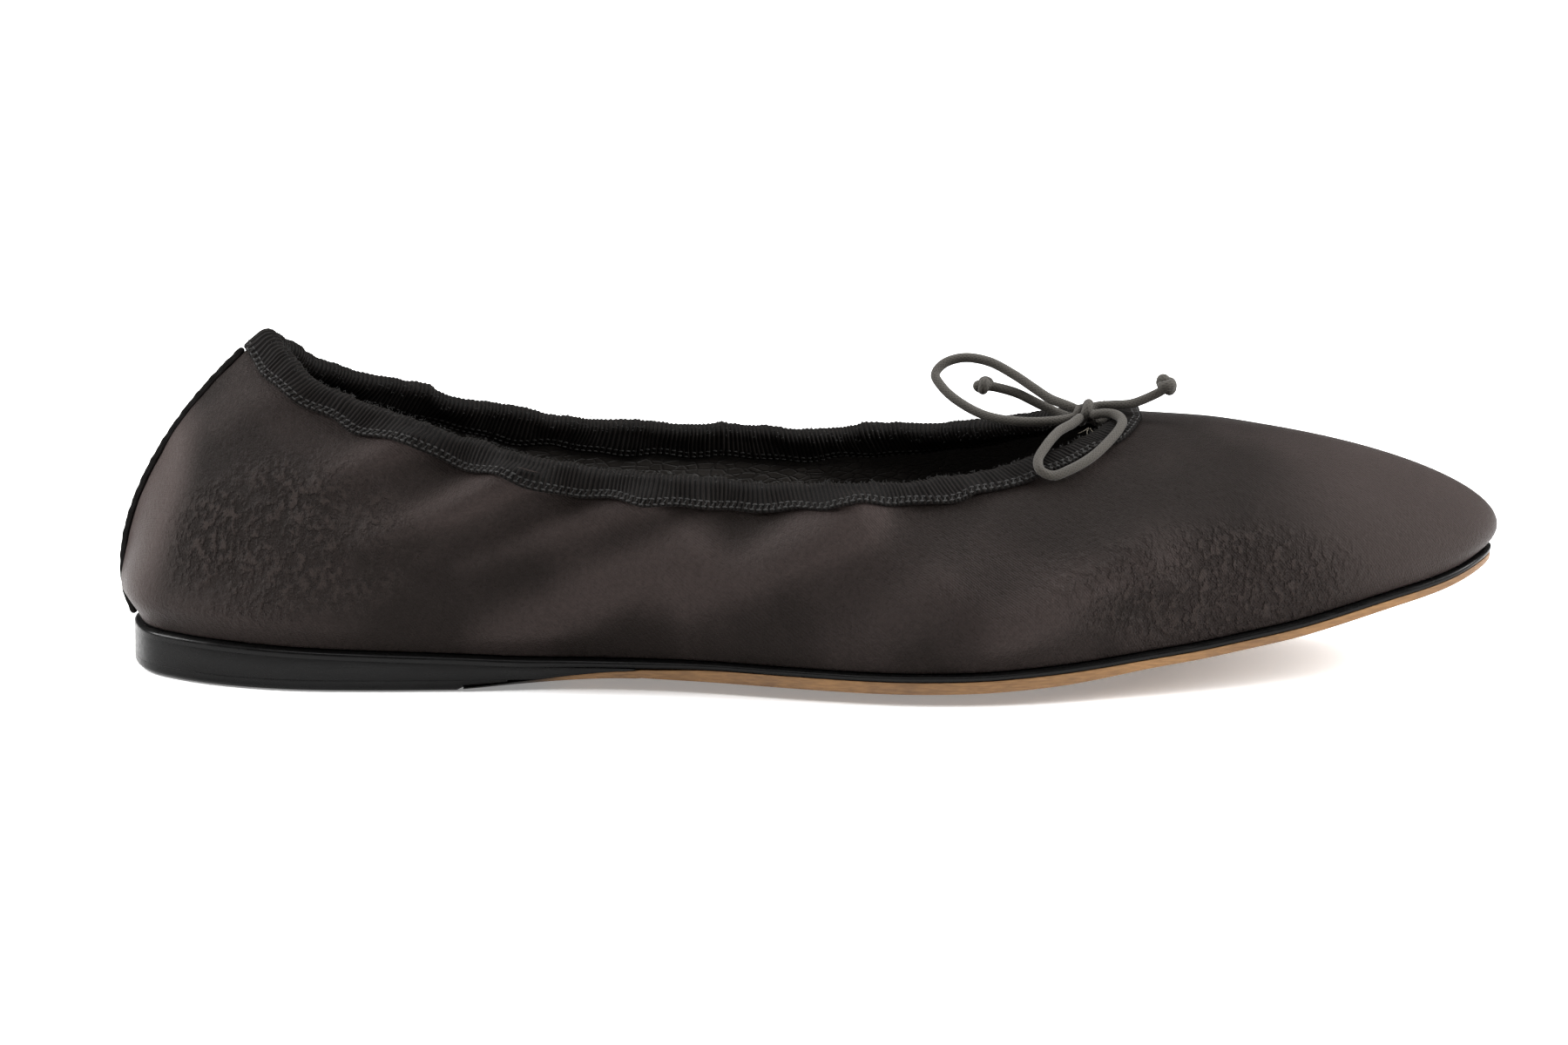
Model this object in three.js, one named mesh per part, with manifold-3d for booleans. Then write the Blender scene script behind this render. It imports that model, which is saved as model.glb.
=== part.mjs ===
// Ballet slipper for the right foot, in millimetres.
// +X points to the toe, +Y to the inner (medial) side, +Z up; the sole stands on z = 0.
import * as THREE from 'three';
import { mergeVertices } from 'three/addons/utils/BufferGeometryUtils.js';
import Module from 'manifold-3d';

const wasm = await Module();
wasm.setup();

// ---------------------------------------------------------------- sizes
const LENGTH = 252;              // heel to toe, over the upper
const BALL_WIDTH = 77;           // widest part of the sole
const BACK_HEIGHT = 61;          // top of the binding at the heel
const GAP = 0.25;                // clearance between neighbouring layers

const UPPER_THICKNESS = 0.8;
const LINING_THICKNESS = 0.7;
const STIFFENER_THICKNESS = 1.0;
const SEAT_INSET = 1.2;          // the upper stands this far inside the sole edge
const UPPER_MARGIN = 10.2;       // lasting margins, measured in from the sole edge
const LINING_MARGIN = 9;

const BINDING_THICKNESS = 0.5;
const BINDING_LEG = 6;           // height of the ribbon on each side
const CORD_DIAMETER = 1.8;
const CHANNEL_CLEARANCE = 0.55;  // round the drawcord, inside the fold of the binding
const CHANNEL_FLOOR = 0.4;       // between the drawcord and the edge of the upper

const RAND_THICKNESS = 1.6;
const RAND_WIDTH = 10.5;
const OUTSOLE_THICKNESS = 1.75;
const OUTSOLE_START = 64;        // where the skived tail of the outsole begins
const TAIL_TIP = 0.25;           // thickness of the tail at its feathered end
const HEEL_INSET = 0.5;
const HEEL_END = 95;             // front end of the wedge, under the waist
const TOP_PIECE_THICKNESS = 2.0;
const TOP_PIECE_END = 72;
const BOARD_THICKNESS = 1.8;
const BOARD_INSET = 5.4;
const SOCK_THICKNESS = 0.7;
const FILLER_INSET = 11;
const PAD_THICKNESS = 2.2;
const PAD_END = 58;
const PAD_INSET = 8.5;

const SHANK = { start: 20, end: 112, width: 10, thickness: 1.0, clearance: 0.3 };
const RIVET = { radius: 1.5, clearance: 0.3, places: [30, 100] };
const NAIL = { radius: 1.0, headRadius: 1.8, headHeight: 0.8, length: 7.5, clearance: 0.3,
  places: [[22, -8], [22, 8], [46, -11.5], [46, 11.5]] };
const SEAM_RADIUS = 0.7;
const LEAN = 8;                  // pull of the sole's outline on the lean of the wall's top

const STATIONS = 56;             // steps round the shoe
const WALL_STEPS = 6;            // steps up the wall

// ---------------------------------------------------------------- the last
// The shape that the shoe is made on, at its standard grade of 252 x 77 x 61.
// Each row, from heel to toe: sole edge x, outer and inner half width; topline x, half width and
// height; then the wall's curve: bulge and rise above the sole, reach and drop below the topline.
const GRADE = { length: 252, width: 77, height: 61 };
const LAST = [
  [2.9, 0, 0, 29, 0, 61, 7, 12, 21.2, 17.2],
  [5.3, 11, 11, 32.6, 6, 57.4, 6.5, 12, 20, 16],
  [11.5, 17.8, 17.8, 38, 10, 53.4, 6, 12, 17, 14],
  [21, 23.3, 23.2, 46, 12.9, 50.4, 5.5, 12, 13, 13],
  [33, 26.7, 26.3, 54.5, 14.9, 47.7, 5, 12, 11, 12.5],
  [48, 27.5, 27, 64, 17.2, 44.8, 4.5, 12, 8.5, 12],
  [66, 27, 24.6, 76, 20, 41.9, 4, 12, 6, 12],
  [85, 26.6, 20.8, 90, 22.2, 39.8, 3.5, 12, 4.5, 11.5],
  [104, 29.2, 21, 105, 23.8, 38.9, 3.5, 12, 5, 11],
  [124, 35, 27, 120, 25, 37.8, 4, 12, 6, 10],
  [142, 38.8, 34, 134, 25.8, 37.7, 4, 12, 7.5, 9],
  [160, 39.4, 37.5, 147, 24.8, 38.3, 4, 12.5, 10, 7],
  [178, 36.7, 36.4, 158, 22.2, 39.5, 4, 13, 14, 5],
  [194, 32.2, 32.3, 166, 19.4, 41, 4.6, 13, 18, 3.4],
  [210, 27.6, 27.6, 171.6, 16.6, 42.4, 5.6, 12.4, 23, 2.4],
  [225, 22.2, 22.2, 176, 13, 43.7, 7.5, 11.4, 30, 1.6],
  [237.5, 16.6, 16.6, 179, 9, 44.6, 9.5, 10.4, 37, 1],
  [247, 9.3, 9.3, 180.5, 4.6, 45.1, 11.5, 9.4, 42, 0.6],
  [251, 0, 0, 181, 0, 45.3, 12, 9, 44, 0.5],
];
const ROWS = 2 * (LAST.length - 1);
const TOE = LAST.length - 1;

const gradeX = LENGTH / GRADE.length;
const gradeY = BALL_WIDTH / GRADE.width;
const gradeZ = BACK_HEIGHT / GRADE.height;

/** A smooth function through a list of [x, value] points. */
function smooth(points) {
  const slope = points.map((p, i) => {
    const a = points[Math.max(i - 1, 0)];
    const b = points[Math.min(i + 1, points.length - 1)];
    return (b[1] - a[1]) / (b[0] - a[0]);
  });
  return (x) => {
    let i = 0;
    while (i < points.length - 2 && x > points[i + 1][0]) i += 1;
    const [x0, y0] = points[i];
    const [x1, y1] = points[i + 1];
    const h = x1 - x0;
    const t = THREE.MathUtils.clamp((x - x0) / h, 0, 1);
    const t2 = t * t;
    const t3 = t2 * t;
    return y0 * (2 * t3 - 3 * t2 + 1) + slope[i] * h * (t3 - 2 * t2 + t)
      + y1 * (3 * t2 - 2 * t3) + slope[i + 1] * h * (t3 - t2);
  };
}

// Height of the top of the rand along the centre line, at the standard grade.
const SOLE_STACK = RAND_THICKNESS + GAP + OUTSOLE_THICKNESS;
const bedProfile = smooth([[0, 4.7], [20, 4.5], [48, 3.5], [64, 2.8], [76, 2.1], [90, 1.7],
  [105, 1.35], [120, 0.75], [138, 0.1], [150, 0.02], [160, 0.35], [172, 1.5], [185, 3.2],
  [196, 4.6], [206, 6.4], [216, 8.4], [232, 12.3], [242, 14.8], [251, 18.2]]);
// How far the sole's edges curl up above its centre line.
const camber = smooth([[0, 0], [64, 0.05], [90, 0.5], [105, 0.95], [120, 1.5], [140, 2.0],
  [160, 2.2], [172, 2.0], [200, 1.5], [216, 1.0], [232, 0.75], [251, 0]]);
// Thickness of the outsole, which is skived down towards its tail, and underside of that tail.
const tailUnderside = smooth([[62, 0.1], [64, 0.2], [75, 1.05], [90, 1.75], [100, 1.6]]);

function rowAt(index) {
  const i = ((index % ROWS) + ROWS) % ROWS;
  const outer = i <= TOE;
  const row = LAST[outer ? i : ROWS - i];
  const side = outer ? -1 : 1;
  return [row[0] * gradeX, side * row[outer ? 1 : 2] * gradeY, row[3] * gradeX,
    side * row[4] * gradeY, row[5] * gradeZ, row[6], row[7], row[8], row[9]];
}

/** The last at s rows from the heel: outer side first, then back along the inner side. */
function station(s) {
  const i = Math.floor(s);
  const t = s - i;
  const rows = [rowAt(i - 1), rowAt(i), rowAt(i + 1), rowAt(i + 2)];
  const v = rows[0].map((_, k) => {
    const [a, b, c, d] = rows.map((row) => row[k]);
    return 0.5 * (2 * b + (c - a) * t + (2 * a - 5 * b + 4 * c - d) * t * t
      + (3 * b - a - 3 * c + d) * t * t * t);
  });
  const fan = THREE.MathUtils.mapLinear(v[0], 2.9 * gradeX, LENGTH, 24 * gradeX, 226 * gradeX);
  const inward = new THREE.Vector2(fan - v[0], -v[1]).normalize();
  return { x: v[0], y: v[1], inward, top: new THREE.Vector3(v[2], v[3], v[4]),
    bulge: v[5], rise: v[6], reach: v[7], drop: v[8] };
}

const edgeSamples = [-1, 1].map((side) => Array.from({ length: 145 }, (_, i) => {
  const st = station(side < 0 ? (i * TOE) / 144 : ROWS - (i * TOE) / 144);
  return [st.x, Math.abs(st.y)];
}));

function halfWidth(x, y) {
  const list = edgeSamples[y < 0 ? 0 : 1];
  let i = 0;
  while (i < list.length - 2 && x > list[i + 1][0]) i += 1;
  const [x0, w0] = list[i];
  const [x1, w1] = list[i + 1];
  return Math.max(w0 + ((w1 - w0) * (x - x0)) / Math.max(x1 - x0, 1e-6), 6);
}

/** How far a point of the sole is raised by the curl of its edges. */
function curl(x, y) {
  const share = Math.min(Math.abs(y) / halfWidth(x, y), 1);
  return camber(x / gradeX) * share * share;
}

/** Top of the rand, which everything above the sole is stacked on. */
function bed(x, y) {
  return SOLE_STACK + bedProfile(x / gradeX) + curl(x, y);
}

function randUnderside(x, y) {
  return bed(x, y) - RAND_THICKNESS;
}

/** Top of the outsole: under the rand, and under the wedge where the tail laps the heel. */
function outsoleTop(x, y) {
  const tail = tailUnderside(x / gradeX) + curl(x, y) + outsoleThickness(x);
  const full = randUnderside(x, y) - GAP;
  return x < HEEL_END * gradeX ? Math.min(tail, full) : full;
}

function outsoleThickness(x) {
  const share = THREE.MathUtils.smoothstep(x, OUTSOLE_START * gradeX, (HEEL_END + 12) * gradeX);
  return THREE.MathUtils.lerp(TAIL_TIP, OUTSOLE_THICKNESS, share);
}

function outsoleUnderside(x, y) {
  return outsoleTop(x, y) - outsoleThickness(x);
}

/** A point inset from the sole edge towards the middle of the sole. */
function insetPoint(s, inset, height) {
  const st = station(s);
  const x = st.x + st.inward.x * inset;
  const y = st.y + st.inward.y * inset;
  return new THREE.Vector3(x, y, height(x, y));
}

/** The outer face of the upper: t runs from the sole (0) to the topline (1). */
function wallPoint(s, t) {
  const st = station(s);
  const foot = insetPoint(s, SEAT_INSET, (x, y) => bed(x, y) + GAP);
  const out = new THREE.Vector3(-st.inward.x, -st.inward.y, 0);
  const away = new THREE.Vector3(foot.x - st.top.x, foot.y - st.top.y, 0);
  const lean = away.addScaledVector(out, LEAN).normalize();
  const low = foot.clone().addScaledVector(out, st.bulge).add(new THREE.Vector3(0, 0, st.rise));
  const high = st.top.clone().addScaledVector(lean, st.reach).sub(new THREE.Vector3(0, 0, st.drop));
  return new THREE.CubicBezierCurve3(foot, low, high, st.top).getPoint(t);
}

function wallTangent(s, t) {
  const a = wallPoint(s, Math.max(t - 0.01, 0));
  return wallPoint(s, Math.min(t + 0.01, 1)).sub(a).normalize();
}

function wallNormal(s, t) {
  const along = wallPoint(s + 0.05, t).sub(wallPoint(s - 0.05, t));
  return along.cross(wallTangent(s, t)).normalize();
}

/** A point at the given depth under the outer face of the upper. */
function layerPoint(s, t, depth) {
  return wallPoint(s, t).addScaledVector(wallNormal(s, t), -depth);
}

/** The t that lies the given distance below the topline, along the wall. */
function belowTop(s, distance) {
  const steps = 60;
  let walked = 0;
  let last = wallPoint(s, 1);
  for (let i = 1; i <= steps; i += 1) {
    const next = wallPoint(s, 1 - i / steps);
    const step = next.distanceTo(last);
    if (walked + step >= distance) return 1 - (i - 1 + (distance - walked) / step) / steps;
    walked += step;
    last = next;
  }
  return 0;
}

// ---------------------------------------------------------------- solids from sections
function solid(vertices, faces) {
  const geometry = new THREE.BufferGeometry();
  const positions = vertices.flatMap((v) => [v.x, v.y, v.z]);
  geometry.setAttribute('position', new THREE.Float32BufferAttribute(positions, 3));
  let volume = 0;
  for (const [a, b, c] of faces) {
    volume += vertices[a].dot(new THREE.Vector3().crossVectors(vertices[b], vertices[c]));
  }
  geometry.setIndex(faces.flatMap(([a, b, c]) => (volume < 0 ? [a, c, b] : [a, b, c])));
  return geometry;
}

/** A band swept round the shoe: each section is a closed loop, its second half the way back, and
    both halves split their quads along the same diagonal so that layers stay parallel. */
function sweep(sections, closed) {
  const size = sections[0].length;
  const vertices = sections.flat();
  const faces = [];
  const last = closed ? sections.length : sections.length - 1;
  for (let i = 0; i < last; i += 1) {
    const a = i * size;
    const b = ((i + 1) % sections.length) * size;
    for (let j = 0; j < size; j += 1) {
      const k = (j + 1) % size;
      if (j < size / 2) faces.push([a + j, b + j, b + k], [a + j, b + k, a + k]);
      else faces.push([a + j, b + j, a + k], [b + j, b + k, a + k]);
    }
  }
  if (!closed) {
    const end = (sections.length - 1) * size;
    for (let j = 0; j < size / 2 - 1; j += 1) {
      const k = size - 1 - j;
      faces.push([j, j + 1, k - 1], [j, k - 1, k]);
      faces.push([end + j, end + k - 1, end + j + 1], [end + j, end + k, end + k - 1]);
    }
  }
  return solid(vertices, faces);
}

/** Sections at every step round the shoe, or from one step to another. */
function around(makeSection, from = 0, to = STATIONS) {
  const closed = to - from >= STATIONS;
  const steps = Array.from({ length: to - from + (closed ? 0 : 1) }, (_, i) => from + i);
  return sweep(steps.map((step) => makeSection((step * ROWS) / STATIONS, step)), closed);
}

/** A sheet that fills the sole's outline at an inset, between two heights. */
function sheet({ inset, top, underside, from = 0, to = LENGTH, breaks = [] }) {
  const acrossSteps = 4;
  const rows = soleRows(from, to, breaks);
  const tops = [];
  const bottoms = [];
  rows.forEach((s) => {
    const a = insetPoint(s, inset, () => 0);
    const b = insetPoint(ROWS - s, inset, () => 0);
    const pointed = a.distanceTo(b) < 0.5;
    const count = pointed ? 0 : acrossSteps;
    const share = (i) => (count ? i / count : 0.5);
    const line = Array.from({ length: count + 1 }, (_, i) => a.clone().lerp(b, share(i)));
    tops.push(line.map((p) => new THREE.Vector3(p.x, p.y, top(p.x, p.y))));
    bottoms.push(line.map((p) => new THREE.Vector3(p.x, p.y, underside(p.x, p.y))));
  });
  return plate(tops, bottoms);
}

/** Rows between two places along the sole, with the ends and the breaks exactly there. */
function soleRows(from, to, breaks) {
  const half = STATIONS / 2;
  const all = Array.from({ length: half + 1 }, (_, i) => (i * TOE) / half);
  const start = from <= station(0).x ? 0 : rowAtX(from);
  const end = to >= station(TOE).x ? TOE : rowAtX(to);
  const fixed = [start, ...breaks.map(rowAtX), end];
  const free = all.filter((s) => s > start && s < end && fixed.every((f) => Math.abs(s - f) > 0.25));
  return [...fixed, ...free].sort((a, b) => a - b);
}

function rowAtX(x) {
  let low = 0;
  let high = TOE;
  for (let i = 0; i < 40; i += 1) {
    const middle = (low + high) / 2;
    if (station(middle).x < x) low = middle;
    else high = middle;
  }
  return low;
}

/** Closes lines of top points over lines of bottom points into a plate. */
function plate(tops, bottoms) {
  const vertices = [...tops.flat(), ...bottoms.flat()];
  const starts = [];
  let total = 0;
  tops.forEach((line) => {
    starts.push(total);
    total += line.length;
  });
  const faces = [];
  const under = (i) => i + total;
  const skin = (a, b, c) => faces.push([a, b, c], [under(a), under(c), under(b)]);
  const rim = (a, b) => faces.push([a, under(a), under(b)], [a, under(b), b]);
  for (let i = 0; i < tops.length - 1; i += 1) {
    const [m, n] = [tops[i].length - 1, tops[i + 1].length - 1];
    const [p, q] = [starts[i], starts[i + 1]];
    const steps = Math.max(m, n);
    for (let j = 0; j < steps; j += 1) {
      if (m === 0) skin(p, q + j, q + j + 1);
      else if (n === 0) skin(p + j, q, p + j + 1);
      else {
        skin(p + j, q + j, q + j + 1);
        skin(p + j, q + j + 1, p + j + 1);
      }
    }
    rim(p, q);
    rim(q + n, p + m);
  }
  const [m, n] = [tops[0].length - 1, tops.at(-1).length - 1];
  for (let j = 0; j < m; j += 1) rim(starts[0] + j + 1, starts[0] + j);
  for (let j = 0; j < n; j += 1) rim(starts.at(-1) + j, starts.at(-1) + j + 1);
  return solid(vertices, faces);
}

// ---------------------------------------------------------------- booleans
function toManifold(geometry) {
  const bare = geometry.clone();
  bare.deleteAttribute('normal');
  bare.deleteAttribute('uv');
  const merged = mergeVertices(bare, 1e-4);
  return new wasm.Manifold(new wasm.Mesh({
    numProp: 3,
    vertProperties: new Float32Array(merged.attributes.position.array),
    triVerts: new Uint32Array(merged.index.array),
  }));
}

function fromManifold(manifold) {
  const mesh = manifold.getMesh();
  const geometry = new THREE.BufferGeometry();
  geometry.setAttribute('position', new THREE.Float32BufferAttribute(mesh.vertProperties, 3));
  geometry.setIndex(Array.from(mesh.triVerts));
  return geometry;
}

function cutFrom(geometry, cutters) {
  let result = toManifold(geometry);
  cutters.forEach((cutter) => {
    result = result.subtract(toManifold(cutter));
  });
  return fromManifold(result);
}

/** A turned pin on a vertical axis, from [radius, height] points. */
function turned(points, x, y, sides = 12) {
  const profile = points.map(([r, z]) => new THREE.Vector2(r, z));
  const geometry = new THREE.LatheGeometry(profile, sides);
  geometry.rotateX(Math.PI / 2);
  geometry.translate(x, y, 0);
  return geometry;
}

function pin(radius, bottom, top, x, y) {
  return turned([[0, bottom], [radius, bottom], [radius, top], [0, top]], x, y);
}

// ---------------------------------------------------------------- upper, lining, stiffeners
const CHANNEL_RADIUS = CORD_DIAMETER / 2 + CHANNEL_CLEARANCE;
const CHANNEL_RISE = CORD_DIAMETER / 2 + CHANNEL_FLOOR;
const CORNER = 0.5;              // how far the layers are cut across where they turn under
const WALL_START = 3.4;          // height above the sole where every layer's wall begins
const upperTop = BINDING_THICKNESS + CHANNEL_RADIUS + CHANNEL_RISE;
const marginMiddle = (UPPER_MARGIN + SEAT_INSET) / 2;

/** The heights on the wall that every layer shares; the last two carry the binding. */
function wallHeights(s) {
  const foot = wallPoint(s, 0).z;
  let start = 0;
  while (wallPoint(s, start).z < foot + WALL_START && start < 0.5) start += 0.005;
  const low = belowTop(s, BINDING_LEG);
  const rise = (j) => THREE.MathUtils.lerp(start, low, j / (WALL_STEPS - 1));
  const steps = Array.from({ length: WALL_STEPS }, (_, j) => rise(j));
  return [...steps, belowTop(s, upperTop)];
}

/** One face of a lasted layer: its margin under the foot, then its wall. */
function layerFace(s, depths, margin) {
  const depth = depths[0];
  const level = (x, y) => bed(x, y) + GAP + depth;
  const corner = SEAT_INSET + depth + CORNER;
  const floor = [margin, marginMiddle, corner].map((inset) => insetPoint(s, inset, level));
  const wall = wallHeights(s).map((t, j) => layerPoint(s, t, depths[j]));
  return [...floor, ...wall];
}

function lastedShell(depthsAt, thickness, margin) {
  return around((s, step) => {
    const depths = depthsAt(step);
    const outside = layerFace(s, depths, margin);
    const inside = layerFace(s, depths.map((d) => d + thickness), margin);
    return [...outside, ...inside.reverse()];
  });
}

// Where the stiffeners lie: steps either side of the heel or toe, and shared heights of the wall.
const COUNTER = { centre: 0, steps: 9, low: 1, high: 4 };
const PUFF = { centre: STATIONS / 2, steps: 6, low: 1, high: 3 };

function stiffened(step, height) {
  return [COUNTER, PUFF].some((zone) => {
    const raw = Math.abs(step - zone.centre);
    const away = Math.min(raw, STATIONS - raw);
    return away <= zone.steps && height >= zone.low && height <= zone.high;
  });
}

function liningDepths(step) {
  return Array.from({ length: WALL_STEPS + 1 }, (_, j) => UPPER_THICKNESS + GAP
    + (stiffened(step, j) ? STIFFENER_THICKNESS + GAP : 0));
}

function stiffener(zone) {
  const outer = UPPER_THICKNESS + GAP;
  return around((s) => {
    const ts = wallHeights(s).slice(zone.low, zone.high + 1);
    const outside = ts.map((t) => layerPoint(s, t, outer));
    const inside = ts.map((t) => layerPoint(s, t, outer + STIFFENER_THICKNESS));
    return [...outside, ...inside.reverse()];
  }, zone.centre - zone.steps, zone.centre + zone.steps);
}

// ---------------------------------------------------------------- binding and drawcord
const sandwich = UPPER_THICKNESS + GAP + LINING_THICKNESS;

/** The frame of the fold that the drawcord runs in: its centre, outward and upward. */
function channel(s) {
  const t = belowTop(s, upperTop);
  const up = wallTangent(s, t);
  const centre = layerPoint(s, t, sandwich / 2).addScaledVector(up, CHANNEL_RISE);
  return { centre, up, out: wallNormal(s, t) };
}

function roundChannel(s, radius, angles) {
  const { centre, up, out } = channel(s);
  return angles.map((angle) => {
    const a = THREE.MathUtils.degToRad(angle);
    const point = centre.clone().addScaledVector(out, radius * Math.cos(a));
    return point.addScaledVector(up, radius * Math.sin(a));
  });
}

/** The ribbon's section: up the outside, round the drawcord, down the inside. */
function bindingFace(s, grow) {
  const low = belowTop(s, BINDING_LEG);
  const fold = roundChannel(s, CHANNEL_RADIUS + grow, [0, 60, 120, 180]);
  return [layerPoint(s, low, -GAP - grow), ...fold, layerPoint(s, low, sandwich + GAP + grow)];
}

function topBinding() {
  return around((s) => [...bindingFace(s, BINDING_THICKNESS), ...bindingFace(s, 0).reverse()]);
}

function drawcord() {
  return around((s) => roundChannel(s, CORD_DIAMETER / 2, [30, 90, 150, 210, 270, 330]));
}

// ---------------------------------------------------------------- tubes
/** A round cord along a curve, with flat ends. */
function tube(curve, radius, steps, sides = 8) {
  const outline = new THREE.Shape(Array.from({ length: sides }, (_, i) => {
    const a = (i * 2 * Math.PI) / sides;
    return new THREE.Vector2(radius * Math.cos(a), radius * Math.sin(a));
  }));
  return new THREE.ExtrudeGeometry(outline, { steps, bevelEnabled: false, extrudePath: curve });
}

function backSeam() {
  const end = belowTop(0, BINDING_LEG + SEAM_RADIUS + GAP);
  const points = Array.from({ length: 9 }, (_, i) => {
    const t = THREE.MathUtils.lerp(0.05, end, i / 8);
    return layerPoint(0, t, -GAP - SEAM_RADIUS);
  });
  return tube(new THREE.CatmullRomCurve3(points), SEAM_RADIUS, 16, 8);
}

// ---------------------------------------------------------------- bow
// The ends of the drawcord come out at the throat and are tied in a bow. Its routes are laid by
// hand: the rear loop stands over the opening, the near loop lies on the binding and the vamp.
// They are given for a throat at this place, and move with it.
const THROAT = new THREE.Vector3(181, 0, 45.3);
const LAID_DIAMETER = 1.8;       // the cord that the routes were laid for
const KNOT = { centre: [176.4, -3.6, 46.5], radii: [1.6, 1.9, 1.8] };
const TAIL_KNOTS = {
  bow_tail_knot_rear: { centre: [158.2, 3.6, 50.1], radii: [1.8, 1.7, 1.7] },
  bow_tail_knot_front: { centre: [192.1, -1.8, 51.9], radii: [1.8, 1.8, 1.8] },
};
const CORD_ROUTES = {
  bow_loop_rear: [[174, -2.2, 47.2], [170.1, 0, 48.4], [167.6, 1.5, 49.8], [163.6, 4, 52.1],
    [159.1, 6, 54.1], [154.5, 7, 54.6], [151, 6.5, 53.6], [149.4, 5, 51.9], [150.4, 3, 50.2],
    [152.9, 0.5, 48.2], [157.9, -2.5, 45.9], [163.6, -5, 45.2], [169.2, -6, 45.3], [174, -5.1, 45.8]],
  bow_loop_near: [[175.6, -6.5, 45.9], [174.6, -9.5, 45.4], [172.4, -14, 45], [169.9, -19.9, 43.4],
    [168.4, -23.4, 41.4], [168.9, -25, 40], [171.1, -24.9, 39], [174.1, -23.6, 39.9], [177.9, -20.9, 41.5],
    [181.1, -17, 43.5], [183.5, -12.8, 45.5], [184, -10.2, 46.4], [182.6, -8, 47], [180.4, -6.9, 47],
    [178.4, -6, 46.6]],
  bow_tail_rear: [[174.2, -1.5, 45.2], [172.4, 0.3, 45.3], [168.2, 2, 47], [164.2, 3, 48.8],
    [160.4, 3.5, 49.8]],
  bow_tail_front: [[178.5, -3, 47.5], [181.5, -3.2, 47.8], [184.8, -3, 48], [188.3, -2.5, 49.2],
    [190.5, -2.1, 50.3]],
  cord_exit_outer: [[180.05, -3.3, 44.5], [178.5, -3.6, 44.9]],
  cord_exit_inner: [[180.1, 1.2, 44.4], [177.5, -1.3, 44.9]],
};

function lump({ centre, radii }) {
  const geometry = new THREE.IcosahedronGeometry(1, 2);
  geometry.scale(...radii);
  geometry.translate(...centre);
  return atThroat(geometry);
}

function cordAlong(points) {
  const places = points.map(([x, y, z]) => new THREE.Vector3(x, y, z));
  const curve = new THREE.CatmullRomCurve3(places);
  const steps = Math.max(2, Math.round(curve.getLength() / (1.5 * CORD_DIAMETER)));
  return atThroat(tube(curve, CORD_DIAMETER / 2, steps));
}

/** Moves a piece of the bow with the throat, and up by what a thicker cord needs to lie clear. */
function atThroat(geometry) {
  const move = station(TOE).top.sub(THROAT);
  const lift = (CORD_DIAMETER - LAID_DIAMETER) * 1.5;
  return geometry.translate(move.x, move.y, move.z + lift);
}

// ---------------------------------------------------------------- sole
const boardUnderside = GAP + UPPER_THICKNESS + GAP + LINING_THICKNESS + GAP;
const boardTop = boardUnderside + BOARD_THICKNESS;
const sockUnderside = boardTop + GAP;
const above = (lift) => (x, y) => bed(x, y) + lift;

function rand() {
  const half = RAND_THICKNESS / 2;   // the edge is rounded over its thickness
  const section = [[RAND_WIDTH, 0], [marginMiddle, 0], [0.45, 0], [0, -half], [0.45, -RAND_THICKNESS],
    [marginMiddle, -RAND_THICKNESS], [RAND_WIDTH, -RAND_THICKNESS]];
  return around((s) => section.map(([inset, lift]) => insetPoint(s, inset, above(lift))));
}

function outsole() {
  return sheet({ inset: 0.2, top: outsoleTop, underside: outsoleUnderside, from: OUTSOLE_START * gradeX });
}

function heelBlock() {
  const floor = TOP_PIECE_THICKNESS + GAP;
  return sheet({ inset: HEEL_INSET, to: HEEL_END * gradeX, top: (x, y) => randUnderside(x, y) - GAP,
    underside: (x, y) => (x < OUTSOLE_START * gradeX ? floor : Math.max(floor, outsoleTop(x, y) + GAP)) });
}

function heelTopPiece() {
  const front = (OUTSOLE_START - 1.5) * gradeX;
  const underside = (x, y) => (x <= front + 0.01 ? 0 : outsoleTop(x, y) + GAP);
  return sheet({ inset: HEEL_INSET, to: TOP_PIECE_END * gradeX, top: () => TOP_PIECE_THICKNESS,
    breaks: [front, OUTSOLE_START * gradeX], underside });
}

/** A strip along the shank's line, grown on every side by a clearance. */
function shankStrip(grow, extraHeight = 0) {
  const top = boardUnderside - GAP - 0.1;
  const xs = Array.from({ length: 13 }, (_, i) => THREE.MathUtils.lerp(
    SHANK.start - grow, SHANK.end + grow, i / 12) * gradeX);
  const half = SHANK.width / 2 + grow;
  const line = (x, lift) => [-half, half].map((y) => new THREE.Vector3(x, y, bed(x, 0) + lift));
  const tops = xs.map((x) => line(x, top + grow + extraHeight));
  return plate(tops, xs.map((x) => line(x, top - SHANK.thickness - grow)));
}

function rivetHoles() {
  const radius = RIVET.radius + RIVET.clearance;
  return RIVET.places.map((x) => pin(radius, 0.5, 40, x * gradeX, 0));
}

function nailTop(x, y) {
  return bed(x, y) + boardTop - 0.2;
}

function nailHoles(radius) {
  return NAIL.places.map(([x, y]) => {
    const [gx, gy] = [x * gradeX, y * gradeY];
    return pin(radius, nailTop(gx, gy) - NAIL.length - NAIL.clearance, 40, gx, gy);
  });
}

function insoleBoard() {
  const whole = sheet({ inset: BOARD_INSET, top: above(boardTop), underside: above(boardUnderside) });
  return cutFrom(whole, [...rivetHoles(), ...nailHoles(NAIL.headRadius + NAIL.clearance)]);
}

function bottomFiller() {
  const whole = sheet({ inset: FILLER_INSET, top: above(boardUnderside - GAP),
    underside: above(-RAND_THICKNESS) });
  return cutFrom(whole, [shankStrip(SHANK.clearance, 5), ...nailHoles(NAIL.radius + NAIL.clearance)]);
}

function drilledHeelBlock() {
  return cutFrom(heelBlock(), nailHoles(NAIL.radius + NAIL.clearance));
}

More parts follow.
